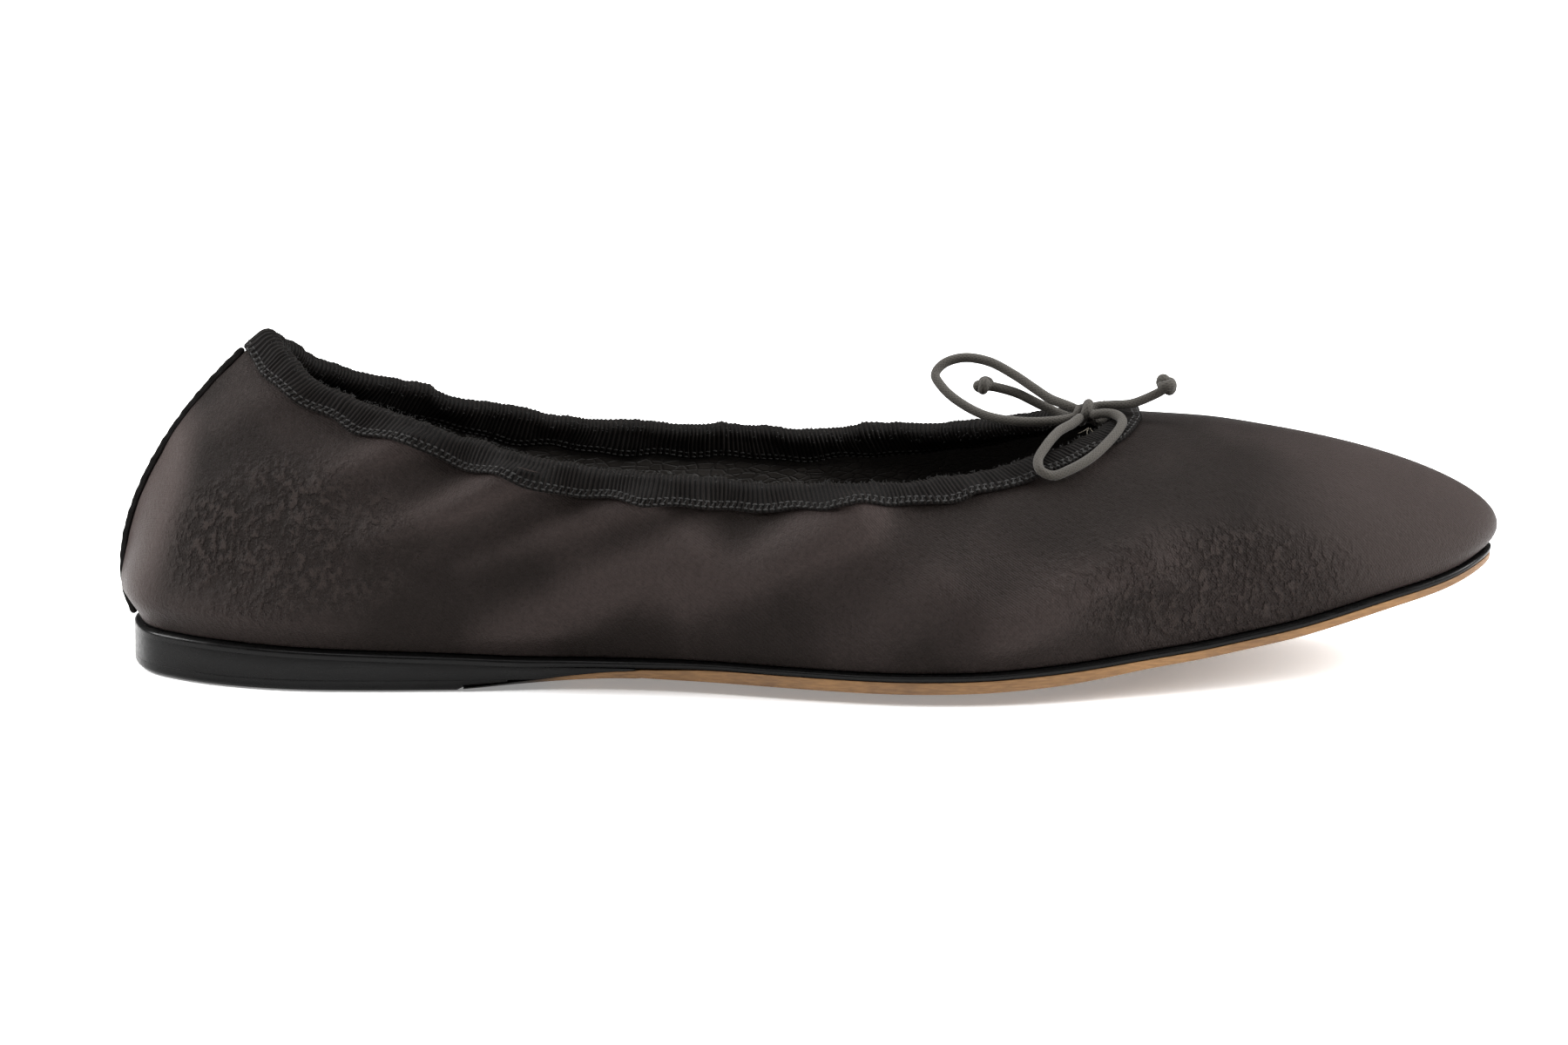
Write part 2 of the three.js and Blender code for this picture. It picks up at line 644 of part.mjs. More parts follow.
function nail([x, y]) {
  const [gx, gy] = [x * gradeX, y * gradeY];
  const top = nailTop(gx, gy);
  const neck = top - NAIL.headHeight;
  const tip = top - NAIL.length;
  return turned([[0, tip], [0.3, tip], [NAIL.radius, tip + 1.5], [NAIL.radius, neck],
    [NAIL.headRadius, neck], [NAIL.headRadius, top], [0, top]], gx, gy);
}

function rivet(x) {
  const low = bed(x * gradeX, 0) + boardUnderside - GAP - 0.1 - SHANK.thickness;
  return pin(RIVET.radius, low, bed(x * gradeX, 0) + boardTop - 0.1, x * gradeX, 0);
}

function heelPad() {
  return sheet({ inset: PAD_INSET, to: PAD_END * gradeX, top: above(sockUnderside + PAD_THICKNESS),
    underside: above(sockUnderside) });
}

/** The sock lies on the board, and over the pad at the heel. */
function sockLining() {
  const lift = (x) => {
    const share = THREE.MathUtils.smoothstep(x / gradeX, PAD_END + 10, PAD_END + 30);
    return THREE.MathUtils.lerp(PAD_THICKNESS + GAP, 0, share);
  };
  return sheet({ inset: BOARD_INSET, top: (x, y) => bed(x, y) + sockUnderside + lift(x) + SOCK_THICKNESS,
    underside: (x, y) => bed(x, y) + sockUnderside + lift(x) });
}

// ---------------------------------------------------------------- assembly
const FINISH = {
  satin: { color: 0x3a3432, roughness: 0.55, metalness: 0 },
  ribbon: { color: 0x232122, roughness: 0.8, metalness: 0 },
  leather: { color: 0x1d1b1b, roughness: 0.5, metalness: 0 },
  tan: { color: 0xa9804f, roughness: 0.6, metalness: 0 },
  rubber: { color: 0x151515, roughness: 0.45, metalness: 0 },
  cord: { color: 0x4a4741, roughness: 0.7, metalness: 0 },
  board: { color: 0x9a8468, roughness: 0.9, metalness: 0 },
  stiff: { color: 0xb8b0a2, roughness: 0.9, metalness: 0 },
  steel: { color: 0xa5a8ac, roughness: 0.3, metalness: 0.9 },
  foam: { color: 0xd8cfae, roughness: 0.95, metalness: 0 },
};

const shoe = new THREE.Group();
shoe.name = 'ballet_slipper';

function addPiece(name, geometry, finish) {
  const mesh = new THREE.Mesh(geometry, new THREE.MeshStandardMaterial(FINISH[finish]));
  mesh.name = name;
  shoe.add(mesh);
  return mesh;
}

const onTheLast = () => Array(WALL_STEPS + 1).fill(0);
addPiece('upper', lastedShell(onTheLast, UPPER_THICKNESS, UPPER_MARGIN), 'satin');
addPiece('lining', lastedShell(liningDepths, LINING_THICKNESS, LINING_MARGIN), 'leather');
addPiece('heel_counter', stiffener(COUNTER), 'stiff');
addPiece('toe_puff', stiffener(PUFF), 'stiff');
addPiece('topline_binding', topBinding(), 'ribbon');
addPiece('drawcord', drawcord(), 'cord');
addPiece('back_seam', backSeam(), 'ribbon');
addPiece('sock_lining', sockLining(), 'leather');
addPiece('heel_pad', heelPad(), 'foam');
addPiece('insole_board', insoleBoard(), 'board');
addPiece('bottom_filler', bottomFiller(), 'board');
addPiece('shank', cutFrom(shankStrip(0), rivetHoles()), 'steel');
RIVET.places.forEach((x, i) => addPiece(`shank_rivet_${i + 1}`, rivet(x), 'steel'));
NAIL.places.forEach((place, i) => addPiece(`heel_nail_${i + 1}`, nail(place), 'steel'));
addPiece('rand', rand(), 'rubber');
addPiece('outsole', outsole(), 'tan');
addPiece('heel_block', drilledHeelBlock(), 'rubber');
addPiece('heel_top_piece', heelTopPiece(), 'rubber');

const box = new THREE.Box3().setFromObject(shoe);
const middle = box.getCenter(new THREE.Vector3());
shoe.position.set(-middle.x, -middle.y, -box.min.z);

// The bow comes last, because the origin is set by the shoe without it.
addPiece('bow_knot', lump(KNOT), 'cord');
Object.entries(TAIL_KNOTS).forEach(([name, knot]) => addPiece(name, lump(knot), 'cord'));
Object.entries(CORD_ROUTES).forEach(([name, points]) => addPiece(name, cordAlong(points), 'cord'));
shoe.updateMatrixWorld(true);

export default shoe;
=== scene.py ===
"""A satin ballet slipper for the right foot: gathered ribbon binding, leather sole, tied cord bow.

Sizes are in millimetres from the back of the heel, with +X to the toe, +Y to the inner side and +Z
up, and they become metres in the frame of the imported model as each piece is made.
"""

import logging
import math
from dataclasses import dataclass, field
from enum import Enum
from typing import Callable, Optional, Sequence

import bpy
import numpy as np
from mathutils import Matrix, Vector


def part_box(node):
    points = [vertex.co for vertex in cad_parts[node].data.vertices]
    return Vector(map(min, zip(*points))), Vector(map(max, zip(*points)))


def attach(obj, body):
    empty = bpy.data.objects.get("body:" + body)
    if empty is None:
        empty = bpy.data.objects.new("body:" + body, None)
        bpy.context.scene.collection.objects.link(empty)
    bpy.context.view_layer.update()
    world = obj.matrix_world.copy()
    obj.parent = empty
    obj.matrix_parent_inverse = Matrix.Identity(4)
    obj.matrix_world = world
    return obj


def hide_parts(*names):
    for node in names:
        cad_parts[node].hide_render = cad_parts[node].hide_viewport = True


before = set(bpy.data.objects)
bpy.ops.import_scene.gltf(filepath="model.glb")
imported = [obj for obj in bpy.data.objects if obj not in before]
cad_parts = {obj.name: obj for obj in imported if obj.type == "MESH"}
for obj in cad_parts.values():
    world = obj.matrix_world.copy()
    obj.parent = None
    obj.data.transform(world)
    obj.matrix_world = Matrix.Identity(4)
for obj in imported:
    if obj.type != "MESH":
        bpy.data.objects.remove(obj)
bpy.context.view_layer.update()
MM = 0.001
LOG = logging.getLogger("slipper")

Array = np.ndarray
Material = bpy.types.Material
Piece = bpy.types.Object
Socket = bpy.types.NodeSocket
Triple = tuple[float, float, float]
Places = Sequence[Sequence[float]]
Spot = tuple[Triple, Triple]  # a middle and its radii, in millimetres


class Body(Enum):
    """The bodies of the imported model."""

    SHOE = "shoe"
    BOW = "bow"


# ---------------------------------------------------------------- the last
class Profile:
    """A smooth function through a few (x, value) points."""

    def __init__(self, *points: tuple[float, float]) -> None:
        """Keeps the points and works out the slope at each.

        Args:
            points: the places and values, from the heel to the toe.
        """
        self.x, self.value = np.array(points, float).T
        before = np.maximum(np.arange(len(self.x)) - 1, 0)
        after = np.minimum(np.arange(len(self.x)) + 1, len(self.x) - 1)
        self.slope = (self.value[after] - self.value[before]) / (self.x[after] - self.x[before])

    def __call__(self, x: Array) -> Array:
        """The value at each x.

        Args:
            x: where to read the function.

        Returns:
            One value for each x.
        """
        i = np.clip(np.searchsorted(self.x, x, "left") - 1, 0, len(self.x) - 2)
        h = self.x[i + 1] - self.x[i]
        t = np.clip((x - self.x[i]) / h, 0, 1)
        return (self.value[i] * (2 * t**3 - 3 * t**2 + 1) + self.slope[i] * h * (t**3 - 2 * t**2 + t)
                + self.value[i + 1] * (3 * t**2 - 2 * t**3) + self.slope[i + 1] * h * (t**3 - t**2))


def smoothstep(x: Array, low: float, high: float) -> Array:
    """A soft step from 0 at low to 1 at high."""
    t = np.clip((np.asarray(x, float) - low) / (high - low), 0, 1)
    return t * t * (3 - 2 * t)


def unit(v: Array) -> Array:
    """The vectors at length one."""
    return v / np.maximum(np.linalg.norm(v, axis=-1, keepdims=True), 1e-9)


@dataclass
class Last:
    """The form that the shoe is made on, and the layers of sole that are stacked under it.

    Each row, from heel to toe: sole edge x, outer and inner half width; topline x, half width and
    height; then the wall's curve: bulge and rise above the sole, reach and drop below the topline.
    """

    rows: Places = (
        (2.9, 0, 0, 29, 0, 61, 7, 12, 21.2, 17.2),
        (5.3, 11, 11, 32.6, 6, 57.4, 6.5, 12, 20, 16),
        (11.5, 17.8, 17.8, 38, 10, 53.4, 6, 12, 17, 14),
        (21, 23.3, 23.2, 46, 12.9, 50.4, 5.5, 12, 13, 13),
        (33, 26.7, 26.3, 54.5, 14.9, 47.7, 5, 12, 11, 12.5),
        (48, 27.5, 27, 64, 17.2, 44.8, 4.5, 12, 8.5, 12),
        (66, 27, 24.6, 76, 20, 41.9, 4, 12, 6, 12),
        (85, 26.6, 20.8, 90, 22.2, 39.8, 3.5, 12, 4.5, 11.5),
        (104, 29.2, 21, 105, 23.8, 38.9, 3.5, 12, 5, 11),
        (124, 35, 27, 120, 25, 37.8, 4, 12, 6, 10),
        (142, 38.8, 34, 134, 25.8, 37.7, 4, 12, 7.5, 9),
        (160, 39.4, 37.5, 147, 24.8, 38.3, 4, 12.5, 10, 7),
        (178, 36.7, 36.4, 158, 22.2, 39.5, 4, 13, 14, 5),
        (194, 32.2, 32.3, 166, 19.4, 41, 4.6, 13, 18, 3.4),
        (210, 27.6, 27.6, 171.6, 16.6, 42.4, 5.6, 12.4, 23, 2.4),
        (225, 22.2, 22.2, 176, 13, 43.7, 7.5, 11.4, 30, 1.6),
        (237.5, 16.6, 16.6, 179, 9, 44.6, 9.5, 10.4, 37, 1),
        (247, 9.3, 9.3, 180.5, 4.6, 45.1, 11.5, 9.4, 42, 0.6),
        (251, 0, 0, 181, 0, 45.3, 12, 9, 44, 0.5))
    length: float = 252
    fan: tuple[float, float] = (24, 226)  # where inward lines from heel and toe meet the middle
    top_lean: float = 8
    seat_inset: float = 1.2
    gap: float = 0.25
    upper: float = 0.8
    lining: float = 0.7
    stiffener: float = 1.0
    rand: float = 1.6
    outsole: float = 1.75
    outsole_start: float = 64
    tail_tip: float = 0.25
    heel_end: float = 95
    cad_steps: int = 56
    bed_profile: Profile = field(default_factory=lambda: Profile(
        (0, 4.7), (20, 4.5), (48, 3.5), (64, 2.8), (76, 2.1), (90, 1.7), (105, 1.35), (120, 0.75),
        (138, 0.1), (150, 0.02), (160, 0.35), (172, 1.5), (185, 3.2), (196, 4.6), (206, 6.4),
        (216, 8.4), (232, 12.3), (242, 14.8), (251, 18.2)))
    camber: Profile = field(default_factory=lambda: Profile(
        (0, 0), (64, 0.05), (90, 0.5), (105, 0.95), (120, 1.5), (140, 2), (160, 2.2), (172, 2),
        (200, 1.5), (216, 1), (232, 0.75), (251, 0)))
    tail_underside: Profile = field(default_factory=lambda: Profile(
        (62, 0.1), (64, 0.2), (75, 1.05), (90, 1.75), (100, 1.6)))

    def __post_init__(self) -> None:
        """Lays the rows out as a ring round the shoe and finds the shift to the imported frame."""
        self.toe = len(self.rows) - 1
        self.count = 2 * self.toe
        ring = []
        for i in range(self.count):
            outer = i <= self.toe
            row = self.rows[i if outer else self.count - i]
            side = -1 if outer else 1
            ring.append([row[0], side * row[1 if outer else 2], row[3], side * row[4], *row[5:]])
        self.ring = np.array(ring, float)
        self.stack = self.rand + self.gap + self.outsole
        at = np.linspace(0, self.toe, 145)
        self.edges = {-1: self.station(at)["edge"], 1: self.station(self.count - at)["edge"]}
        low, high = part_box("rand")
        cad = self.station(np.arange(self.cad_steps) * self.count / self.cad_steps)["edge"]
        centre = (cad.min(axis=0) + cad.max(axis=0)) / 2
        packed = (low.x + high.x) / 2 / MM, (low.y + high.y) / 2 / MM
        self.shift = np.array([packed[0] - centre[0], packed[1] - centre[1], 0])

    def place(self, points: Array) -> Array:
        """The points in metres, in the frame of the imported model."""
        return (np.asarray(points, float) + self.shift) * MM

    def station(self, s: Array) -> dict[str, Array]:
        """The last at s rows from the heel: outer side first, then back along the inner side.

        Args:
            s: places round the shoe, in rows.

        Returns:
            The sole edge, the direction inwards, the topline and the numbers of the wall's curve.
        """
        s = np.asarray(s, float)
        i = np.floor(s).astype(int)
        t = (s - i)[..., None]
        a, b, c, d = (self.ring[(i + k) % self.count] for k in (-1, 0, 1, 2))
        v = 0.5 * (2 * b + (c - a) * t + (2 * a - 5 * b + 4 * c - d) * t**2
                   + (3 * b - a - 3 * c + d) * t**3)
        start, (near, far) = self.rows[0][0], self.fan
        fan = near + (v[..., 0] - start) / (self.length - start) * (far - near)
        inward = unit(np.stack([fan - v[..., 0], -v[..., 1]], -1))
        return {"edge": v[..., :2], "inward": inward, "top": v[..., 2:5], "curve": v[..., 5:]}

    def curl(self, x: Array, y: Array) -> Array:
        """How far a point of the sole is raised by the curl of its edges.

        Args:
            x: how far each point lies from the heel.
            y: how far each point lies to the inner side.

        Returns:
            The rise at each point.
        """
        half = np.where(y < 0, np.interp(x, self.edges[-1][:, 0], -self.edges[-1][:, 1]),
                        np.interp(x, self.edges[1][:, 0], self.edges[1][:, 1]))
        share = np.minimum(np.abs(y) / np.maximum(half, 6), 1)
        return self.camber(x) * share**2

    def bed(self, x: Array, y: Array) -> Array:
        """Top of the rand, which everything above the sole is stacked on."""
        return self.stack + self.bed_profile(x) + self.curl(x, y)

    def outsole_thickness(self, x: Array) -> Array:
        """Thickness of the outsole, which is skived down towards its tail."""
        share = smoothstep(x, self.outsole_start, self.heel_end + 12)
        return self.tail_tip + (self.outsole - self.tail_tip) * share

    def outsole_top(self, x: Array, y: Array) -> Array:
        """Top of the outsole: under the rand, and under the wedge where the tail laps the heel.

        Args:
            x: how far each point lies from the heel.
            y: how far each point lies to the inner side.

        Returns:
            The height at each point.
        """
        tail = self.tail_underside(x) + self.curl(x, y) + self.outsole_thickness(x)
        full = self.bed(x, y) - self.rand - self.gap
        return np.where(x < self.heel_end, np.minimum(tail, full), full)

    def inset(self, s: Array, amount: Array, height: Callable) -> Array:
        """Points inset from the sole edge towards the middle of the sole.

        Args:
            s: places round the shoe, in rows.
            amount: how far in each point lies.
            height: gives z from x and y.

        Returns:
            The points, in millimetres.
        """
        st = self.station(s)
        flat = st["edge"] + st["inward"] * np.asarray(amount, float)[..., None]
        return np.concatenate([flat, height(flat[..., 0], flat[..., 1])[..., None]], -1)

    def wall(self, s: Array, t: Array) -> Array:
        """The outer face of the upper: t runs from the sole (0) to the topline (1).

        Args:
            s: places round the shoe, in rows.
            t: heights on the wall.

        Returns:
            The points, in millimetres.
        """
        s, t = np.broadcast_arrays(np.asarray(s, float), np.asarray(t, float))
        st = self.station(s)
        foot = self.inset(s, np.full(s.shape, self.seat_inset), lambda x, y: self.bed(x, y) + self.gap)
        bulge, rise, reach, drop = (st["curve"][..., k, None] for k in range(4))
        up = np.array([0, 0, 1.0])
        out = np.concatenate([-st["inward"], np.zeros(s.shape + (1,))], -1)
        away = (foot - st["top"]) * [1, 1, 0] + self.top_lean * out
        low = foot + out * bulge + up * rise
        high = st["top"] + unit(away) * reach - up * drop
        t = t[..., None]
        return ((1 - t)**3 * foot + 3 * (1 - t)**2 * t * low + 3 * (1 - t) * t**2 * high
                + t**3 * st["top"])

    def up_wall(self, s: Array, t: Array) -> Array:
        """The direction up the wall."""
        return unit(self.wall(s, np.minimum(t + 0.01, 1)) - self.wall(s, np.maximum(t - 0.01, 0)))

    def out_of_wall(self, s: Array, t: Array) -> Array:
        """The direction out of the wall."""
        along = self.wall(s + 0.05, t) - self.wall(s - 0.05, t)
        return unit(np.cross(along, self.up_wall(s, t)))

    def layer(self, s: Array, t: Array, depth: Array) -> Array:
        """Points at the given depth under the outer face of the upper."""
        return self.wall(s, t) - self.out_of_wall(s, t) * np.asarray(depth, float)[..., None]

    def below_top(self, s: Array, distance: Array) -> Array:
        """The t that lies each distance below the topline, along the wall.

        Args:
            s: places round the shoe, one for each row.
            distance: one distance, or one for each row.

        Returns:
            One t for each row.
        """
        t = np.linspace(1, 0, 61)
        points = self.wall(s[:, None], t[None, :])
        steps = np.linalg.norm(np.diff(points, axis=1), axis=-1)
        walked = np.concatenate([np.zeros((len(s), 1)), np.cumsum(steps, axis=1)], axis=1)
        distance = np.broadcast_to(distance, s.shape)
        return np.array([np.interp(d, w, t) for d, w in zip(distance, walked)])

    def even(self, count: int, t: float) -> Array:
        """Places round the shoe that are evenly spaced at one height of the wall.

        Args:
            count: how many steps to take.
            t: the height on the wall.

        Returns:
            The places, in rows, with the first one repeated a full turn on.
        """
        fine = np.linspace(0, self.count, 2401)
        points = self.wall(fine, np.full(fine.shape, t))
        walked = np.concatenate([[0], np.cumsum(np.linalg.norm(np.diff(points, axis=0), axis=-1))])
        return np.interp(np.linspace(0, walked[-1], count + 1), walked, fine)

    def row_at(self, x: float) -> float:
        """The place on the outer side whose sole edge lies at x."""
        fine = np.linspace(0, self.toe, 1801)
        return float(np.interp(x, self.station(fine)["edge"][:, 0], fine))


# ---------------------------------------------------------------- how the satin falls
@dataclass(frozen=True)
class Fold:
    """A soft fold: a crest through (x, z) places, its width, and its height at either end."""

    crest: tuple[tuple[float, float], ...]
    width: float
    start: float
    end: float


@dataclass
class Drape:
    """The folds that the gathered topline throws down the sides, and the ruffles of its edge."""

    last: Last
    outer: tuple[Fold, ...] = (
        Fold(((57, 45), (49, 41.5), (38, 37)), 2.6, 1.5, 0.4),
        Fold(((77, 39.5), (62, 32.5), (48, 28)), 2.5, 1.9, 0.5),
        Fold(((98, 34.5), (80, 28.5), (64, 22.5)), 2.1, 0.9, 0.4),
        Fold(((104, 25.5), (92, 20.5), (80, 14), (70, 10)), 4.6, 1.1, 0.8),
        Fold(((135, 32.5), (121, 25.5), (106, 17)), 3.8, 1.9, 0.5),
        Fold(((150, 22), (140, 15)), 4.2, 0.6, 0.5),
        Fold(((184, 26.5), (173, 20), (161, 13)), 4.4, 1.3, 0.8),
        Fold(((203, 40), (197, 31), (192, 24)), 4.5, 0.15, 0.6),
        Fold(((32, 52), (22, 48), (14, 41)), 2.8, 0.5, 0.3),
        Fold(((0, 14), (20, 13.2), (44, 11.8)), 3.2, 0.5, 0.5))
    inner: tuple[Fold, ...] = (
        Fold(((52, 46), (43, 42), (34, 38)), 2.8, 1.3, 0.4),
        Fold(((72, 40.5), (59, 34), (46, 27.5)), 2.8, 1.8, 0.5),
        Fold(((92, 35.5), (78, 28), (64, 20.5)), 3.2, 1.4, 0.5),
        Fold(((116, 33), (101, 26), (88, 17)), 3.6, 1.6, 0.6),
        Fold(((142, 32), (128, 25), (115, 16)), 4.0, 1.5, 0.5),
        Fold(((174, 28), (162, 21), (150, 13)), 4.6, 1.2, 0.6),
        Fold(((200, 38), (194, 30), (188, 23)), 4.5, 0.15, 0.5),
        Fold(((0, 14), (20, 13.2), (44, 11.8)), 3.2, 0.4, 0.4))
    depth: float = 2.5
    slack_and_painted_shade: float = 0.18
    rumple: float = 0.12
    drawn_in: float = 0.12
    seam: float = 0.6
    deepest: float = 0.4

    def _crest(self, x: Array, z: Array, fold: Fold) -> Array:
        """The height that one fold adds at each point.

        Args:
            x: how far each point lies from the heel.
            z: how high each point lies.
            fold: the fold.

        Returns:
            The height at each point.
        """
        nodes = np.array(fold.crest, float)
        best = np.full(x.shape, 1e9)
        share = np.zeros(x.shape)
        pieces = len(nodes) - 1
        for i in range(pieces):
            a, b = nodes[i], nodes[i + 1]
            run = b - a
            u = np.clip(((x - a[0]) * run[0] + (z - a[1]) * run[1]) / (run @ run), 0, 1)
            away = (x - a[0] - u * run[0])**2 + (z - a[1] - u * run[1])**2
            nearer = away < best
            best = np.where(nearer, away, best)
            share = np.where(nearer, (i + u) / pieces, share)
        height = self.depth * (fold.start + (fold.end - fold.start) * share)
        return height * np.exp(-best / (2 * fold.width**2))

    def swell(self, s: Array, t: Array) -> Array:
        """How far the satin stands off the last at each place.

        Args:
            s: places round the shoe, in rows.
            t: heights on the wall.

        Returns:
            Millimetres outwards; a valley is slightly negative.
        """
        p = self.last.wall(s, t)
        x, z = p[..., 0], p[..., 2]
        outer = sum(self._crest(x, z, fold) for fold in self.outer)
        inner = sum(self._crest(x, z, fold) for fold in self.inner)
        near = smoothstep(p[..., 1], -3, 3)
        total = outer * (1 - near) + inner * near
        middle = np.sin(np.pi * np.clip((x - 30) / 150, 0, 1))
        rumple = self.rumple * np.sin(x / 3.1 + z / 5.3) * np.sin(x / 7.7 - z / 4.1 + 1.3)
        seam = self.seam * np.exp(-(p[..., 1] / 2.2)**2) * (1 - smoothstep(x, 40, 60))
        total = total + middle * (self.slack_and_painted_shade + rumple) - self.drawn_in + seam
        return np.maximum(total, -self.deepest) * smoothstep(z - self.last.bed(x, p[..., 1]), 0.2, 5.5)

    def ripple(self, turn: Array, harmonics: Sequence[int], seed: int) -> Array:
        """An irregular wave round the topline, between about -1 and 1.

        Args:
            turn: places round the shoe, from 0 to 1.
            harmonics: how many waves go round, one number for each wave.
            seed: fixes the phases.

        Returns:
            The height of the wave at each place.
        """
        phases = np.random.default_rng(seed).uniform(0, 2 * np.pi, len(harmonics))
        waves = [np.sin(2 * np.pi * n * turn + phase) for n, phase in zip(harmonics, phases)]
        return sum(waves) / math.sqrt(len(waves))


# ---------------------------------------------------------------- meshes
def deselect() -> None:
    """Leaves object mode's selection empty."""
    if bpy.context.object and bpy.context.object.mode != "OBJECT":
        bpy.ops.object.mode_set(mode="OBJECT")
    bpy.ops.object.select_all(action="DESELECT")


def loft(name: str, points: Array, uv: Optional[Array] = None) -> Piece:
    """A closed skin over rows of points, made from a grid that is shaped, welded and capped.

    Args:
        name: the piece's name.
        points: rows x columns x 3, in metres. A last row or column that repeats the first closes it.
        uv: rows x columns x 2, the pattern's place on each point.

    Returns:
        The piece, with its place in its mesh.
    """
    rows, columns = points.shape[:2]
    deselect()
    bpy.ops.mesh.primitive_grid_add(x_subdivisions=columns - 1, y_subdivisions=rows - 1, size=2)
    piece = bpy.context.object
    piece.name = piece.data.name = name
    mesh = piece.data
    flat = np.empty(len(mesh.vertices) * 3)
    mesh.vertices.foreach_get("co", flat)
    flat = flat.reshape(-1, 3)
    column = np.rint((flat[:, 0] + 1) / 2 * (columns - 1)).astype(int)
    row = np.rint((flat[:, 1] + 1) / 2 * (rows - 1)).astype(int)
    mesh.vertices.foreach_set("co", points[row, column].astype(np.float64).ravel())
    if uv is not None:
        corner = np.empty(len(mesh.loops), int)
        mesh.loops.foreach_get("vertex_index", corner)
        mesh.uv_layers.active.data.foreach_set("uv", uv[row[corner], column[corner]].ravel())
    bpy.ops.object.mode_set(mode="EDIT")
    bpy.ops.mesh.select_all(action="SELECT")
    bpy.ops.mesh.remove_doubles(threshold=2e-6)
    bpy.ops.mesh.fill_holes(sides=0)
    bpy.ops.mesh.select_all(action="SELECT")
    bpy.ops.mesh.normals_make_consistent(inside=False)
    bpy.ops.object.mode_set(mode="OBJECT")
    bpy.ops.object.shade_smooth()
    return piece


def spline(places: Places, step: float) -> Array:
    """A smooth centripetal curve through places, cut into even steps.

    Args:
        places: the points to pass through, in millimetres.
        step: the spacing wanted.

    Returns:
        Points along the curve, in millimetres.
    """
    p = np.array(places, float)
    p = np.vstack([2 * p[0] - p[1], p, 2 * p[-1] - p[-2]])
    knots = np.concatenate([[0], np.cumsum(np.sqrt(np.linalg.norm(np.diff(p, axis=0), axis=1)))])
    fine = []
    for i in range(1, len(p) - 2):
        t = np.linspace(knots[i], knots[i + 1], 40, endpoint=False)[:, None]
        t0, t1, t2, t3 = knots[i - 1:i + 3]
        a1 = (t1 - t) / (t1 - t0) * p[i - 1] + (t - t0) / (t1 - t0) * p[i]
        a2 = (t2 - t) / (t2 - t1) * p[i] + (t - t1) / (t2 - t1) * p[i + 1]
        a3 = (t3 - t) / (t3 - t2) * p[i + 1] + (t - t2) / (t3 - t2) * p[i + 2]
        b1 = (t2 - t) / (t2 - t0) * a1 + (t - t0) / (t2 - t0) * a2
        b2 = (t3 - t) / (t3 - t1) * a2 + (t - t1) / (t3 - t1) * a3
        fine.append((t2 - t) / (t2 - t1) * b1 + (t - t1) / (t2 - t1) * b2)
    fine = np.vstack([*fine, p[-2][None]])
    walked = np.concatenate([[0], np.cumsum(np.linalg.norm(np.diff(fine, axis=0), axis=1))])
    even = np.linspace(0, walked[-1], max(2, round(walked[-1] / step) + 1))
    return np.stack([np.interp(even, walked, fine[:, k]) for k in range(3)], 1)


def tube(name: str, path: Array, radius: float, sides: int, closed: bool = False,
         taper: float = 1.0, relief: Optional[Callable] = None) -> Piece:
    """A round cord along a path, with domed ends.

    Args:
        name: the piece's name.
        path: points along the middle, in metres. A closed path doesn't repeat its first point.
        radius: in metres.
        sides: how many faces go round.
        closed: whether the end runs into the start.
        taper: how thick the far end is, as a share of the near one.
        relief: gives a height to add, in metres, from the turn round the cord and the way along it.

    Returns:
        The piece, with its pattern laid out in millimetres round and along the cord.
    """
    if closed:
        path = np.vstack([path, path[:1]])
        ahead = np.roll(path[:-1], -1, axis=0) - np.roll(path[:-1], 1, axis=0)
        ahead = np.vstack([ahead, ahead[:1]])
    else:
        ahead = np.gradient(path, axis=0)
    ahead = unit(ahead)
    across = np.zeros_like(path)
    first = np.cross(ahead[0], [0, 0, 1.0])
    across[0] = unit(first if np.linalg.norm(first) > 0.1 else np.cross(ahead[0], [0, 1.0, 0]))
    for i in range(1, len(path)):
        across[i] = unit(across[i - 1] - ahead[i] * (across[i - 1] @ ahead[i]))
    if closed:
        miss = math.atan2(np.cross(across[0], across[-1]) @ ahead[0], across[0] @ across[-1])
        turn = -miss * np.linspace(0, 1, len(path))[:, None]
        across = across * np.cos(turn) + np.cross(ahead, across) * np.sin(turn)
    over = np.cross(ahead, across)
    walked = np.concatenate([[0], np.cumsum(np.linalg.norm(np.diff(path, axis=0), axis=1))])
    angle = np.linspace(0, 2 * np.pi, sides + 1)
    thick = radius * np.linspace(1, taper, len(path))[:, None] * np.ones(sides + 1)
    if relief is not None:
        thick = thick + relief(angle[None, :], walked[:, None])
    ring = (across[:, None] * np.cos(angle)[None, :, None]
            + over[:, None] * np.sin(angle)[None, :, None])
    points = path[:, None] + ring * thick[..., None]
    along = walked
    if not closed:
        dome = np.radians([88, 60, 30])
        near = [path[0] + ring[0] * thick[0, :, None] * math.cos(a)
                - ahead[0] * radius * math.sin(a) for a in dome]
        far = [path[-1] + ring[-1] * thick[-1, :, None] * math.cos(a)
               + ahead[-1] * radius * taper * math.sin(a) for a in dome[::-1]]
        points = np.concatenate([near, points, far])
        along = np.concatenate([walked[0] - radius * np.sin(dome), walked,
                                walked[-1] + radius * np.sin(dome[::-1])])
    uv = np.stack(np.broadcast_arrays(angle[None, :] * radius / MM, along[:, None] / MM), -1)
    return loft(name, points, uv)


def join(name: str, pieces: Sequence[Piece]) -> Piece:
    """Several solids as one piece.

    Args:
        name: the piece's name.
        pieces: the solids.

    Returns:
        The piece.
    """
    deselect()
    for piece in pieces:
        piece.select_set(True)
    bpy.context.view_layer.objects.active = pieces[0]
    if len(pieces) > 1:
        bpy.ops.object.join()
    pieces[0].name = pieces[0].data.name = name
    return pieces[0]


